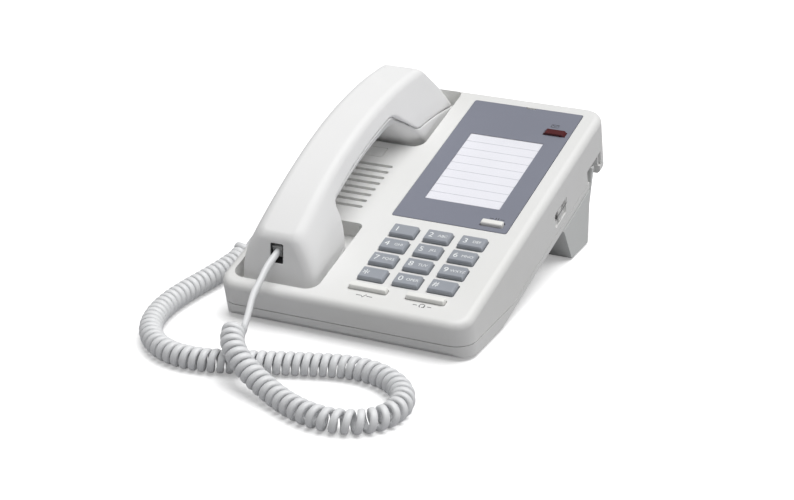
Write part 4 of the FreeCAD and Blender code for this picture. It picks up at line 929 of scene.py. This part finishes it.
class Rind:
    """The skin of a solid that is given by bounds: a field of distances, negative inside."""

    FEEL = 0.05
    ROUNDS = 4
    LEAST_SLOPE = 0.05

    @staticmethod
    def both(first: np.ndarray, second: np.ndarray, radius: float) -> np.ndarray:
        """What lies inside two bounds, with the edge where they meet rounded to a radius."""
        a, b = first + radius, second + radius
        return np.minimum(np.maximum(a, b), 0.0) + np.hypot(np.maximum(a, 0.0), np.maximum(b, 0.0)) - radius

    @staticmethod
    def every(bounds: Sequence[np.ndarray], radius: float) -> np.ndarray:
        """What lies inside all of several bounds, with every edge and corner rounded to one radius."""
        raised = [bound + radius for bound in bounds]
        outer = np.sqrt(sum(np.maximum(bound, 0.0) ** 2 for bound in raised))
        return np.minimum(np.maximum.reduce(raised), 0.0) + outer - radius

    @staticmethod
    def skin(field_of: Callable[..., np.ndarray], low: Sequence[float], high: Sequence[float],
             step: float) -> Tuple[np.ndarray, np.ndarray]:
        """Meshes the surface where a field is nought.

        The field is read on a grid. Each cell that the surface passes through gets one point, the mean of
        where its edges cross the surface, and each crossed grid edge one face of its four cells' points.
        Newton steps along the field's slope then bring the points onto the surface itself.

        Args:
            field_of: the field as a function of x, y and z.
            low, high: corners of a box that holds the whole solid.
            step: the size of a cell.

        Returns:
            The points and the faces.
        """
        grid = np.meshgrid(*[np.arange(a, b + step, step) for a, b in zip(low, high)], indexing="ij")
        values = field_of(*grid)
        inside = values < 0
        cells = np.array(values.shape) - 1
        shifts = np.array(list(np.ndindex(2, 2, 2)))
        corners = [inside[a:a + cells[0], b:b + cells[1], c:c + cells[2]] for a, b, c in shifts]
        crossed = np.logical_or.reduce(corners) & ~np.logical_and.reduce(corners)
        where = np.argwhere(crossed)
        number = np.full(cells, -1)
        number[crossed] = np.arange(len(where))
        heights = np.stack([values[tuple((where + shift).T)] for shift in shifts], -1)
        total = np.zeros((len(where), 4))
        for i, j in ((i, j) for i in range(8) for j in range(i) if np.abs(shifts[i] - shifts[j]).sum() == 1):
            split = (heights[:, i] < 0) != (heights[:, j] < 0)
            share = heights[split, i] / (heights[split, i] - heights[split, j])
            total[split, :3] += shifts[i] + share[:, None] * (shifts[j] - shifts[i])
            total[split, 3] += 1.0
        points = (where + total[:, :3] / total[:, 3:]) * step + np.array(low)
        faces = np.concatenate([Rind.across(inside, number, axis) for axis in range(3)])
        return Rind.settle(field_of, points, step), faces

    @staticmethod
    def across(inside: np.ndarray, number: np.ndarray, axis: int) -> np.ndarray:
        """The faces across the grid edges of one axis, turned so that they point out."""
        ahead = np.roll(np.eye(3, dtype=int), -axis, axis=0)
        start = np.take(inside, range(inside.shape[axis] - 1), axis)
        end = np.take(inside, range(1, inside.shape[axis]), axis)
        place = np.argwhere(start != end)
        ring = [np.zeros(3, dtype=int), ahead[1], ahead[1] + ahead[2], ahead[2]]
        faces = np.stack([number[tuple((place - turn).T)] for turn in ring], -1)
        out = start[tuple(place.T)]
        return np.where(out[:, None], faces[:, ::-1], faces)[:, ::-1]

    @staticmethod
    def settle(field_of: Callable[..., np.ndarray], points: np.ndarray, step: float) -> np.ndarray:
        """Moves points onto the surface by short Newton steps along the field's slope."""
        reach = Rind.FEEL * step
        for _ in range(Rind.ROUNDS):
            slope = np.stack([(field_of(*(points + way).T) - field_of(*(points - way).T)) / (2 * reach)
                              for way in reach * np.eye(3)], -1)
            steep = np.maximum((slope ** 2).sum(axis=1), Rind.LEAST_SLOPE)
            move = (field_of(*points.T) / steep)[:, None] * slope
            points = points - np.clip(move, -step / 2, step / 2)
        return points


@dataclass
class Handset:
    """The two mouldings of the handset, which meet at a seam below its flared sides.

    Sizes are in millimetres: x across from the middle, y back from the front end, z up from the deck.
    """

    length: float = 194.0
    half: float = 23.5
    top_half: float = 12.5
    facet_depth: float = 27.2
    sink: float = 9.5
    rear_gap: float = 7.2
    top_front: Tuple[float, float] = (8.0, 22.5)
    top_rear: Tuple[float, float] = (173.0, 29.4)
    top_rise: float = 13.1
    front_lean: float = 0.305
    rear_lean: float = 0.56
    edge_round: float = 3.8
    front_round: float = 2.6
    rear_round: float = 1.6
    corner_round: float = 7.5
    mouth_swell: float = 3.4
    swell_fade: Tuple[float, float] = (5.0, 70.0)
    mouth_face: Tuple[float, float] = (40.5, 0.12)
    mouth_round: float = 8.0
    ear_face: Tuple[float, float] = (138.9, -0.548)
    ear_round: float = 14.0
    column_spare: float = 2.0
    mouth_lap: float = 0.6
    grip_rear: Tuple[float, float] = (122.0, 140.0)
    grip_facet: float = 10.0
    grip_depth: float = 21.0
    belly_half: float = 10.0
    belly_round: float = 2.0
    gap_blend: float = 3.0
    gap_round: float = 1.4
    seam: float = 0.45
    seam_bend: float = 3.0
    mouth_seam_drop: float = 4.5
    seam_fade: Tuple[float, float] = (30.0, 70.0)
    lip_round: float = 0.3
    pocket: Tuple[float, float, float] = (3.7, 5.2, 9.0)
    pocket_height: float = 12.5
    pocket_round: float = 0.6
    pocket_rim: float = 0.4
    collar_wall: float = 0.5
    collar_lap: float = 0.1
    collar_round: float = 0.8
    collar_ease: float = 0.4
    collar_points: int = 5
    collar_start: float = 0.35
    ear_setback: float = 26.0
    mouth_setback: float = 19.0
    ear_ring: Tuple[float, int] = (7.5, 8)
    mouth_row: Tuple[float, int] = (4.0, 5)
    sound_hole: Tuple[float, float] = (1.1, 3.0)
    ear_groove: Tuple[float, float, float] = (17.0, 2.0, 0.9)
    well_gap: float = 0.2
    hole_round: float = 0.15
    wells: Tuple[Well, ...] = ()
    step: float = 0.62
    spare_cells: int = 3

    def arc(self) -> Tuple[float, float, float]:
        """The middle and radius of the arc that the back follows, from its two ends and its rise."""
        a, b = np.array(self.top_front), np.array(self.top_rear)
        chord = b - a
        radius = (chord @ chord) / 8 / self.top_rise + self.top_rise / 2
        out = np.array([-chord[1], chord[0]]) / np.linalg.norm(chord)
        middle = (a + b) / 2 + out * (self.top_rise - radius)
        return middle[0], middle[1], radius

    def depth(self, y: Grid, z: Grid) -> Grid:
        """How far a place lies below the back."""
        middle_y, middle_z, radius = self.arc()
        return radius - np.hypot(y - middle_y, z - middle_z)

    def grip(self, y: Grid, z: Grid, depth: Grid) -> Grid:
        """Distance inside the stretch from the mouthpiece's inner face to the seam's rise at the earpiece."""
        share = (depth - self.grip_facet) / (self.facet_depth - self.grip_facet)
        front = self.mouth_face[0] + self.mouth_face[1] * z - self.mouth_lap
        rear = self.grip_rear[0] + (self.grip_rear[1] - self.grip_rear[0]) * share
        steep = (self.grip_rear[1] - self.grip_rear[0]) / (self.facet_depth - self.grip_facet)
        return np.minimum(y - front, (rear - y) / math.hypot(1.0, steep))

    def body(self, x: Grid, y: Grid, z: Grid) -> Grid:
        """The whole handset: a flared block under the arc of its back, cut by its ends and by the hand's gap.

        The mouthpiece's sides swell a little, by a sine of the depth that fades towards the grip.
        """
        depth = self.depth(y, z)
        flare = math.atan((self.half - self.top_half) / self.facet_depth)
        low = np.clip(depth / self.facet_depth, 0.0, 1.0)
        swell = self.mouth_swell * np.sin(math.pi * low) * (1.0 - smooth_rise(y, *self.swell_fade))
        facet = (np.abs(x) - self.top_half - swell) * math.cos(flare) - depth * math.sin(flare)
        side = np.abs(x) - self.half
        front = (self.front_lean * z - y) / math.hypot(1.0, self.front_lean)
        rear = (y - self.length + self.rear_lean * (z + self.sink)) / math.hypot(1.0, self.rear_lean)
        flank = np.maximum(side, facet - self.column_spare / 2)
        front_end = Rind.both(flank, front, self.corner_round)
        rear_end = Rind.both(side, rear, self.corner_round)
        block = Rind.every([-depth, facet, side, -self.sink - z], self.edge_round)
        block = Rind.both(Rind.both(block, front_end, self.front_round), rear_end, self.rear_round)
        block = Rind.both(block, self.hand_gap(x, y, z, depth, flare), self.gap_round)
        return Rind.both(block, -self.jack_pocket(x, y, z), self.pocket_rim)

    def hand_gap(self, x: Grid, y: Grid, z: Grid, depth: Grid, flare: float) -> Grid:
        """All but the hand's gap: the grip draws in to its belly, and the ends are columns."""
        belly = self.top_half + self.grip_facet * math.tan(flare)
        slope = math.atan2(belly - self.belly_half, self.grip_depth - self.grip_facet)
        drawn = (np.abs(x) - belly) * math.cos(slope) + (depth - self.grip_facet) * math.sin(slope)
        bar = Rind.both(drawn, depth - self.grip_depth, self.belly_round)
        wide = np.abs(x) - self.half - self.column_spare
        mouth_at, mouth_lean = self.mouth_face
        ear_at, ear_lean = self.ear_face
        past_mouth = (y - mouth_at - mouth_lean * z) / math.hypot(1.0, mouth_lean)
        before_ear = (ear_at + ear_lean * z - y) / math.hypot(1.0, ear_lean)
        mouth = Rind.both(wide, past_mouth, self.mouth_round)
        ear = Rind.both(wide, before_ear, self.ear_round)
        return -Rind.both(-bar, -np.minimum(mouth, ear), self.gap_blend)

    def jack_pocket(self, x: Grid, y: Grid, z: Grid) -> Grid:
        """The opening in the front end round the cord's plug."""
        wide, tall, deep = self.pocket
        bounds = [np.abs(x) - wide, np.abs(z - self.pocket_height) - tall, y - deep]
        return Rind.every(bounds, self.pocket_round)

    def below_seam(self, y: Grid, z: Grid) -> Grid:
        """Distance below the seam: deeper than the facets, or under the widest line of the grip."""
        depth = self.depth(y, z)
        ends = depth - self.facet_depth - self.mouth_seam_drop * (1.0 - smooth_rise(y, *self.seam_fade))
        grip = -Rind.both(self.grip_facet - depth, -self.grip(y, z, depth), self.seam_bend)
        return Rind.both(ends, grip, self.seam_bend)

    def back(self, x: Grid, y: Grid, z: Grid) -> Grid:
        """The outer moulding."""
        return Rind.both(self.body(x, y, z), self.below_seam(y, z) + self.seam / 2, self.lip_round)

    def front(self, x: Grid, y: Grid, z: Grid) -> Grid:
        """The inner moulding, with the earpiece and the mouthpiece."""
        inner = Rind.both(self.body(x, y, z), self.seam / 2 - self.below_seam(y, z), self.lip_round)
        return Rind.both(inner, -self.openings(x, y, z), self.hole_round)

    def openings(self, x: Grid, y: Grid, z: Grid) -> Grid:
        """The inner moulding's bores: sound holes, the earpiece's groove and the wells of the screws."""
        radius, deep = self.sound_hole
        nearest = np.minimum.reduce([np.hypot(x - a, y - b) for a, b in self.hole_places()])
        holes = np.maximum(nearest - radius, z + self.sink - deep)
        outer, wide, sunk = self.ear_groove
        ring = np.hypot(x, y - self.length + self.ear_setback) - outer + wide / 2
        groove = np.maximum(np.abs(ring) - wide / 2, z + self.sink - sunk)
        wells = [np.maximum(np.hypot(x, y - at) - reach, z - top) for at, reach, top in self.wells]
        return np.minimum.reduce([holes, groove] + wells)

    def hole_places(self) -> np.ndarray:
        """Where the sound holes lie: a ring round one in the earpiece, and a row in the mouthpiece."""
        radius, count = self.ear_ring
        turn = 2 * math.pi * np.arange(count) / count
        ring = radius * np.column_stack([np.cos(turn), np.sin(turn)])
        ear = np.vstack([np.zeros((1, 2)), ring]) + np.array([0.0, self.length - self.ear_setback])
        pitch, many = self.mouth_row
        row = pitch * (np.arange(many) - (many - 1) / 2)
        return np.vstack([ear, np.column_stack([row, np.full(many, self.mouth_setback)])])

    def find_wells(self, origin: np.ndarray) -> Tuple[Well, ...]:
        """Reads each screw's place, its head's radius and its head's height from the screws' node."""
        points = (DECK.from_room(node_points("handset_screws")) - origin) / MM
        ahead = points[:, 1] < points[:, 1].mean()
        found = []
        for screw in (points[ahead], points[~ahead]):
            low, high = screw.min(axis=0), screw.max(axis=0)
            reach = np.abs(screw[:, 0]).max() + self.well_gap
            found.append(((low[1] + high[1]) / 2, reach, low[2] + self.well_gap))
        return tuple(found)

    def origin(self) -> np.ndarray:
        """The middle of the front end at the deck's height, in the deck's frame."""
        case_high = DECK.box("upper_case")[1]
        low, high = DECK.box("handset_back_shell")
        rear = case_high[1] - self.rear_gap * MM
        return np.array([(low[0] + high[0]) / 2, rear - self.length * MM, case_high[2]])

    def build(self) -> None:
        """Meshes both mouldings and sets them in the cups."""
        origin = self.origin()
        self.wells = self.find_wells(origin)
        room = self.spare_cells * self.step
        corner_low = (-self.half - room, -self.front_lean * self.sink - room, -self.sink - room)
        corner_high = (self.half + room, self.length + room, self.top_rear[1] + self.top_rise + room)
        for node, field_of in (("handset_back_shell", self.back), ("handset_front_shell", self.front)):
            points, faces = Rind.skin(field_of, corner_low, corner_high, self.step)
            piece = Shapes.mesh(node + "_moulding", DECK.to_room(points * MM + origin), faces.tolist())
            dress(piece, HANDSET_WHITE, "handset", [node])
        self.collar(origin)
        recolour("handset_jack", JACK_BLACK)

    def collar(self, origin: np.ndarray) -> bpy.types.Object:
        """The jack's black mouth: a tube that lines the pocket, as five oblong rings, the last on the first.

        Args:
            origin: the place of the handset's front end, in the deck's frame.

        Returns:
            The collar.
        """
        wide, tall, deep = self.pocket
        wall, lap = self.collar_wall, self.collar_lap
        inset = np.array([-lap, -lap, wall, wall, -lap])
        back = np.array([deep, self.collar_start, self.collar_start, deep, deep])
        corner = self.collar_round - self.collar_ease * inset
        rings = Shapes.rounded_oblong(2 * (wide - inset), 2 * (tall - inset), corner, self.collar_points)
        lean = self.front_lean * (rings[..., 1] + self.pocket_height) * (back < deep)[:, None]
        y = back[:, None] + lean
        points = np.stack([rings[..., 0], y, rings[..., 1] + self.pocket_height], -1)
        faces = Shapes.quads(len(rings), rings.shape[1], True)
        piece = Shapes.mesh("handset_jack_mouth", DECK.to_room(points.reshape(-1, 3) * MM + origin), faces)
        Shapes.turn_out(piece, True)
        return dress(piece, JACK_BLACK, "handset")


@dataclass
class CurlyCord:
    """The handset's cord: a straight lead, the curls, and a short tail into the base."""

    lead: Tuple[Place, ...] = (
        (-0.0416, -0.09343, 0.03955), (-0.0416, -0.10603, 0.03636), (-0.0403, -0.1165, 0.0316),
        (-0.0387, -0.1285, 0.0283), (-0.0371, -0.1395, 0.0256),
    )
    coil: Tuple[Place, ...] = (
        (-0.03478, -0.15545, 0.02169), (-0.0302, -0.1662, 0.0196), (-0.0215, -0.1742, 0.0156),
        (-0.009, -0.18, 0.0102), (0.005, -0.186, 0.0065), (0.021, -0.1945, 0.0065),
        (0.038, -0.1985, 0.0065), (0.0545, -0.1945, 0.0065), (0.0645, -0.182, 0.0065),
        (0.065, -0.1655, 0.0065), (0.056, -0.1515, 0.0065), (0.041, -0.143, 0.0065),
        (0.0235, -0.1415, 0.0065), (0.006, -0.147, 0.0065), (-0.011, -0.153, 0.0065),
        (-0.028, -0.1595, 0.0065), (-0.046, -0.166, 0.0065), (-0.0635, -0.1665, 0.0065),
        (-0.079, -0.1595, 0.0065), (-0.0905, -0.1465, 0.0065), (-0.097, -0.1305, 0.0065),
        (-0.0995, -0.1125, 0.0065), (-0.0986, -0.0945, 0.0065), (-0.0964, -0.077, 0.0065),
        (-0.0948, -0.0615, 0.0065), (-0.0942, -0.051, 0.0067),
    )
    tail: Tuple[Place, ...] = (
        (-0.09375, -0.0431, 0.00685), (-0.0934, -0.0356, 0.0114), (-0.0914, -0.0286, 0.0166),
        (-0.0868, -0.0232, 0.021), (-0.0807, -0.02135, 0.02375), (-0.0755, -0.02135, 0.02375),
    )
    length: float = 2.64
    width_mm: float = 3.9
    thick_mm: float = 3.2
    coil_mm: float = 12.6
    pitch_mm: float = 4.75
    open_pitch_mm: float = 5.6
    open_from_mm: float = 35.0
    open_to_mm: float = 195.0
    open_blend_mm: float = 25.0
    curl_start_mm: float = 16.0
    curl_end_mm: float = 15.0
    ease_in_mm: float = 34.0
    ease_out_mm: float = 20.0
    curl_bend_mm: float = 3.0
    lead_turn: float = math.radians(172)
    squareness: float = 2.5
    per_turn: int = 30
    around: int = 14
    route_steps: int = 24
    blend_start: Place = (0.0, 0.0, 0.026)
    blend_end: Place = (0.0, -0.00115, 0.0451)

    def line(self) -> Tuple[np.ndarray, float, float]:
        """Points along the smooth route, and where the curls begin and end on it.

        Returns:
            The points, and the two distances along them.
        """
        points = np.array(self.lead + self.coil + self.tail)
        curve = bpy.data.curves.new("cord_route", "CURVE")
        curve.dimensions = "3D"
        spline = curve.splines.new("NURBS")
        spline.points.add(len(points) - 1)
        spline.points.foreach_set("co", np.column_stack([points, np.ones(len(points))]).ravel())
        spline.order_u = 3
        spline.use_endpoint_u = True
        spline.resolution_u = self.route_steps
        carrier = bpy.data.objects.new("cord_route", curve)
        data = bpy.data.meshes.new_from_object(carrier)
        line = mesh_points(data)
        bpy.data.objects.remove(carrier)
        bpy.data.curves.remove(curve)
        bpy.data.meshes.remove(data)
        run = self.run(line)
        first, last = (run[np.linalg.norm(line - np.array(end), axis=1).argmin()]
                       for end in (self.lead[-1], self.coil[-1]))
        return line, first + self.curl_start_mm * MM, last + self.curl_end_mm * MM

    @staticmethod
    def run(line: np.ndarray) -> np.ndarray:
        """Distance along a line of points, from its first."""
        return np.concatenate([[0.0], np.cumsum(np.linalg.norm(np.diff(line, axis=0), axis=1))])

    def turned(self, s: np.ndarray, first: float, last: float) -> np.ndarray:
        """How far the wire has turned round the route: by one turn for each pitch, from first to last curl.

        The pitch opens a little over the front loop.

        Args:
            s: distances along the route.
            first, last: where the curls begin and end on it.

        Returns:
            The angle at each distance.
        """
        blend = self.open_blend_mm * MM
        start = first + self.open_from_mm * MM
        end = first + self.open_to_mm * MM
        opening = smooth_rise(s, start, start + blend) - smooth_rise(s, end - blend, end)
        pitch = (self.pitch_mm + (self.open_pitch_mm - self.pitch_mm) * opening) * MM
        bend = self.curl_bend_mm * MM
        curling = smooth_rise(s, first - bend, first + bend) - smooth_rise(s, last - bend, last + bend)
        turns = np.concatenate([[0.0], np.cumsum((curling / pitch)[:-1] * np.diff(s))])
        return turns * 2 * math.pi + self.lead_turn

    def wire(self) -> Tuple[np.ndarray, np.ndarray]:
        """The wire's middle line and the way out from the coil's axis at each of its points.

        The wire runs round the route at a radius that grows where the curls begin and shrinks where they end.

        Returns:
            The points and the unit vectors.
        """
        line, first, last = self.line()
        run = self.run(line)
        count = int((run[-1] / (self.pitch_mm * MM)) * self.per_turn)
        s = np.linspace(0.0, run[-1], count)
        centre = np.stack([np.interp(s, run, line[:, k]) for k in range(3)], -1)
        ahead = unit(np.gradient(centre, s, axis=0))
        aside = unit(np.cross(ahead, UP))
        above = np.cross(aside, ahead)
        angle = self.turned(s, first, last)
        begun = smooth_rise(s, first - self.ease_in_mm * MM, first)
        ended = smooth_rise(s, last, last + self.ease_out_mm * MM)
        radius = (begun - ended) * (self.coil_mm - self.thick_mm) / 2 * MM
        out = np.cos(angle)[:, None] * aside + np.sin(angle)[:, None] * above
        return centre + radius[:, None] * out, out

    def build(self) -> bpy.types.Object:
        """The cord as one tube: a rounded flat section carried along the wire.

        The section is a superellipse with its broad side along the coil's axis.

        Returns:
            The cord.
        """
        middle, out = self.wire()
        ahead = unit(np.gradient(middle, axis=0))
        out = unit(out - (out * ahead).sum(axis=1)[:, None] * ahead)
        across = np.cross(ahead, out)
        turn = np.linspace(0.0, 2 * math.pi, self.around, endpoint=False)
        power = 2.0 / self.squareness
        wide = np.sign(np.sin(turn)) * np.abs(np.sin(turn)) ** power * self.width_mm / 2 * MM
        deep = np.sign(np.cos(turn)) * np.abs(np.cos(turn)) ** power * self.thick_mm / 2 * MM
        points = middle[:, None] + deep[None, :, None] * out[:, None] + wide[None, :, None] * across[:, None]
        faces = Shapes.tube(len(middle), self.around)
        piece = Shapes.mesh("handset_cord", points.reshape(-1, 3), faces)
        piece.data.materials.append(CORD_VINYL.material())
        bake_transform(piece)
        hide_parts("cord_lead_handset", "cord_coil", "cord_lead_base")
        LOG.info("handset_cord: wire %.3f m, %d faces", self.run(middle)[-1], len(faces))
        return piece


@dataclass
class Legends:
    """Small printed signs of plain strokes: by the buttons, behind the lamp and along the volume slide.

    Places are in millimetres from the deck's front edge and the case's middle, strokes about their own
    middle.
    """

    width_mm: float = 0.42
    ink_mm: float = 0.03
    flash_at: Tuple[float, float] = (10.9, 5.9)
    redial_at: Tuple[float, float] = (43.6, 6.5)
    hold_at: Tuple[float, float] = (52.4, 88.9)
    lamp_at: Tuple[float, float] = (50.2, 184.4)
    volume_at: Tuple[float, float] = (131.6, -22.0)

    def build(self) -> None:
        """Prints every sign."""
        top = DECK.box("upper_case")[1]
        panel = DECK.box("face_panel")[1]
        rise = (panel[2] - top[2]) / MM
        for name, place, height, strokes in (
                ("flash_sign", self.flash_at, 0.0, self.pulse()),
                ("redial_sign", self.redial_at, 0.0, self.again()),
                ("hold_sign", self.hold_at, rise, self.pause()),
                ("lamp_sign", self.lamp_at, rise, self.envelope())):
            lines = [np.column_stack([line + np.array(place), np.full(len(line), height)])
                     for line in strokes]
            self.lay(name, lines, UP)
        side = top[0] / MM
        lines = [np.column_stack([np.full(len(line), side), line + np.array(self.volume_at)])
                 for line in self.wedge()]
        self.lay("volume_sign", lines, np.array([1.0, 0.0, 0.0]))

    @staticmethod
    def pulse() -> Sequence[np.ndarray]:
        """A level line with one dip and one peak."""
        return [np.array([(-4.6, 0.0), (-1.6, 0.0), (-0.8, -1.3), (0.8, 1.3), (1.6, 0.0), (4.6, 0.0)])]

    @staticmethod
    def again() -> Sequence[np.ndarray]:
        """Most of a circle with a barb on its end, between two dashes."""
        turn = np.radians(np.linspace(-50.0, 240.0, 22))
        ring = 1.5 * np.column_stack([np.cos(turn), np.sin(turn)])
        barb = ring[0] + np.array([(-1.0, 0.15), (0.0, 0.0), (0.1, 1.05)])
        return [ring, barb, np.array([(-5.2, 0.0), (-2.8, 0.0)]), np.array([(2.8, 0.0), (5.2, 0.0)])]

    @staticmethod
    def pause() -> Sequence[np.ndarray]:
        """Two upright strokes between two dashes."""
        bars = [np.array([(x, -1.1), (x, 1.1)]) for x in (-0.7, 0.7)]
        return bars + [np.array([(-4.2, 0.0), (-2.0, 0.0)]), np.array([(2.0, 0.0), (4.2, 0.0)])]

    @staticmethod
    def envelope() -> Sequence[np.ndarray]:
        """An envelope: an oblong and the two edges of its flap."""
        box = np.array([(-2.2, -1.3), (2.2, -1.3), (2.2, 1.3), (-2.2, 1.3), (-2.2, -1.3)])
        return [box, np.array([(-2.2, 1.3), (0.0, -0.3), (2.2, 1.3)])]

    @staticmethod
    def wedge() -> Sequence[np.ndarray]:
        """A thin wedge that grows along the slide, and three ticks above it."""
        ticks = [np.array([(x, 4.0), (x, 4.9 + 0.12 * (x + 8.0))]) for x in (-8.0, 0.0, 8.0)]
        return [np.array([(-9.0, 3.0), (9.0, 3.0)])] + ticks

    def lay(self, name: str, lines: Sequence[np.ndarray], out: np.ndarray) -> bpy.types.Object:
        """Lays strokes on a face as flat ribbons: four points round the line at each of its points.

        Args:
            name: the piece's name.
            lines: the strokes, as rows of u, v, w in millimetres from the deck's front edge.
            out: the way out of the face, in the deck's frame.

        Returns:
            The sign.
        """
        top = DECK.box("upper_case")[1]
        origin = np.array([0.0, top[1] - BaseCase.deck_length_mm * MM, top[2]])
        points, faces, count = [], [], 0
        for line in lines:
            ahead = unit(np.gradient(line, axis=0))
            aside = np.cross(out, ahead) * self.width_mm / 2
            ring = [line + a * aside + b * self.ink_mm * out for a, b in ((1, -1), (-1, -1), (-1, 1), (1, 1))]
            points.append(np.stack(ring, 1).reshape(-1, 3))
            faces += [[point + count for point in face] for face in Shapes.tube(len(line), len(ring))]
            count += len(ring) * len(line)
        piece = Shapes.mesh(name, DECK.to_room(np.concatenate(points) * MM + origin), faces)
        Shapes.turn_out(piece, False)
        return dress(piece, INK_DARK, "base")


@dataclass
class InnerParts:
    """Everything that the case and the handset hold inside."""

    finishes: Dict[str, Finish] = field(default_factory=lambda: {
        "case_screws": SCREW_STEEL, "handset_screws": SCREW_STEEL, "board_screws": SCREW_STEEL,
        "key_mat": MAT_RUBBER, "main_board": BOARD_TAN, "hold_switch": SWITCH_GREY,
        "hook_plunger": SWITCH_GREY, "hook_switch": SWITCH_GREY, "volume_switch": SWITCH_GREY,
        "ringer_speaker": CAN_STEEL, "receiver_capsule": CAN_STEEL, "microphone_capsule": CAN_STEEL,
        "handset_weight": WEIGHT_STEEL, "line_jack": JACK_BLACK, "base_cord_jack": JACK_BLACK,
        "cord_plug_handset": PLUG_CLEAR, "cord_plug_base": PLUG_CLEAR,
    })

    def build(self) -> None:
        """Finishes each of them."""
        for node, finish in self.finishes.items():
            recolour(node, finish)


@dataclass
class Studio:
    """The pale floor, the soft light and the camera."""

    azimuth: float = math.radians(24.78)
    elevation: float = math.radians(22.77)
    aim: Place = (-0.0248, 0.01995, 0.0)
    distance: float = 1.17539
    sensor_mm: float = 36.0
    lens_mm: float = 91.81
    floor_half: float = 6.0
    floor_lines: int = 9
    near_clip: float = 0.05
    sun_from: Place = (0.24, 0.08, 1.0)
    sun_power: float = 2.76
    sun_spread: float = math.radians(55)
    sky: float = 0.24
    sky_seen: float = 0.95

    def build(self) -> None:
        """Sets the stage."""
        self.floor()
        self.lights()
        self.camera()

    def floor(self) -> None:
        """A flat square of pale paper."""
        reach = np.linspace(-self.floor_half, self.floor_half, self.floor_lines)
        x, y = np.meshgrid(reach, reach, indexing="ij")
        points = np.stack([x, y, np.zeros_like(x)], -1).reshape(-1, 3)
        ground = Shapes.mesh("floor", points, Shapes.quads(self.floor_lines, self.floor_lines, False))
        paper = FloorPaper("floor_paper", "case_plastic", (250, 250, 250), (249, 249, 249), 0.9,
                           Texture.PAPER, grain_scale=300.0, drift_scale=1.2)
        ground.data.materials.append(paper.material())

    def lights(self) -> None:
        """One broad overhead light from the right, and a faint sky that the camera sees as white."""
        sun = bpy.data.lights.new("overhead", "SUN")
        sun.energy = self.sun_power
        sun.angle = self.sun_spread
        lamp = into_scene("overhead", sun)
        lamp.rotation_euler = Vector(self.sun_from).to_track_quat("Z", "Y").to_euler()
        world = bpy.data.worlds.new("studio")
        world.use_nodes = True
        wiring = Wiring(world.node_tree)
        seen = wiring.add("ShaderNodeLightPath").outputs["Is Camera Ray"]
        strength = wiring.maths("MULTIPLY_ADD", seen, self.sky_seen - self.sky, self.sky)
        background = world.node_tree.nodes["Background"]
        wiring.put(background, "Color", (1.0, 1.0, 1.0, 1.0))
        wiring.put(background, "Strength", strength)
        bpy.context.scene.world = world

    def camera(self) -> None:
        """A long lens that looks down over the right front corner."""
        ce, se = math.cos(self.elevation), math.sin(self.elevation)
        ca, sa = math.cos(self.azimuth), math.sin(self.azimuth)
        back = Vector((sa * ce, -ca * ce, se))
        right = Vector((ca, sa, 0.0))
        up = back.cross(right)
        lens = bpy.data.cameras.new("camera")
        lens.sensor_fit = "HORIZONTAL"
        lens.sensor_width = self.sensor_mm
        lens.lens = self.lens_mm
        lens.clip_start = self.near_clip
        eye = into_scene("camera", lens)
        turn = Matrix((right, up, back)).transposed().to_4x4()
        eye.matrix_world = Matrix.Translation(Vector(self.aim) + back * self.distance) @ turn
        bpy.context.scene.camera = eye
        bpy.context.scene.view_settings.view_transform = "Standard"


def main() -> None:
    """Builds the studio and then the phone's looks."""
    logging.basicConfig(level=logging.INFO, format="%(name)s %(message)s")
    for part in (Studio(), CurlyCord(), BaseCase(), FacePanel(), Keypad(), Handset(), Legends(),
                 InnerParts()):
        part.build()


if __name__ == "__main__":
    main()
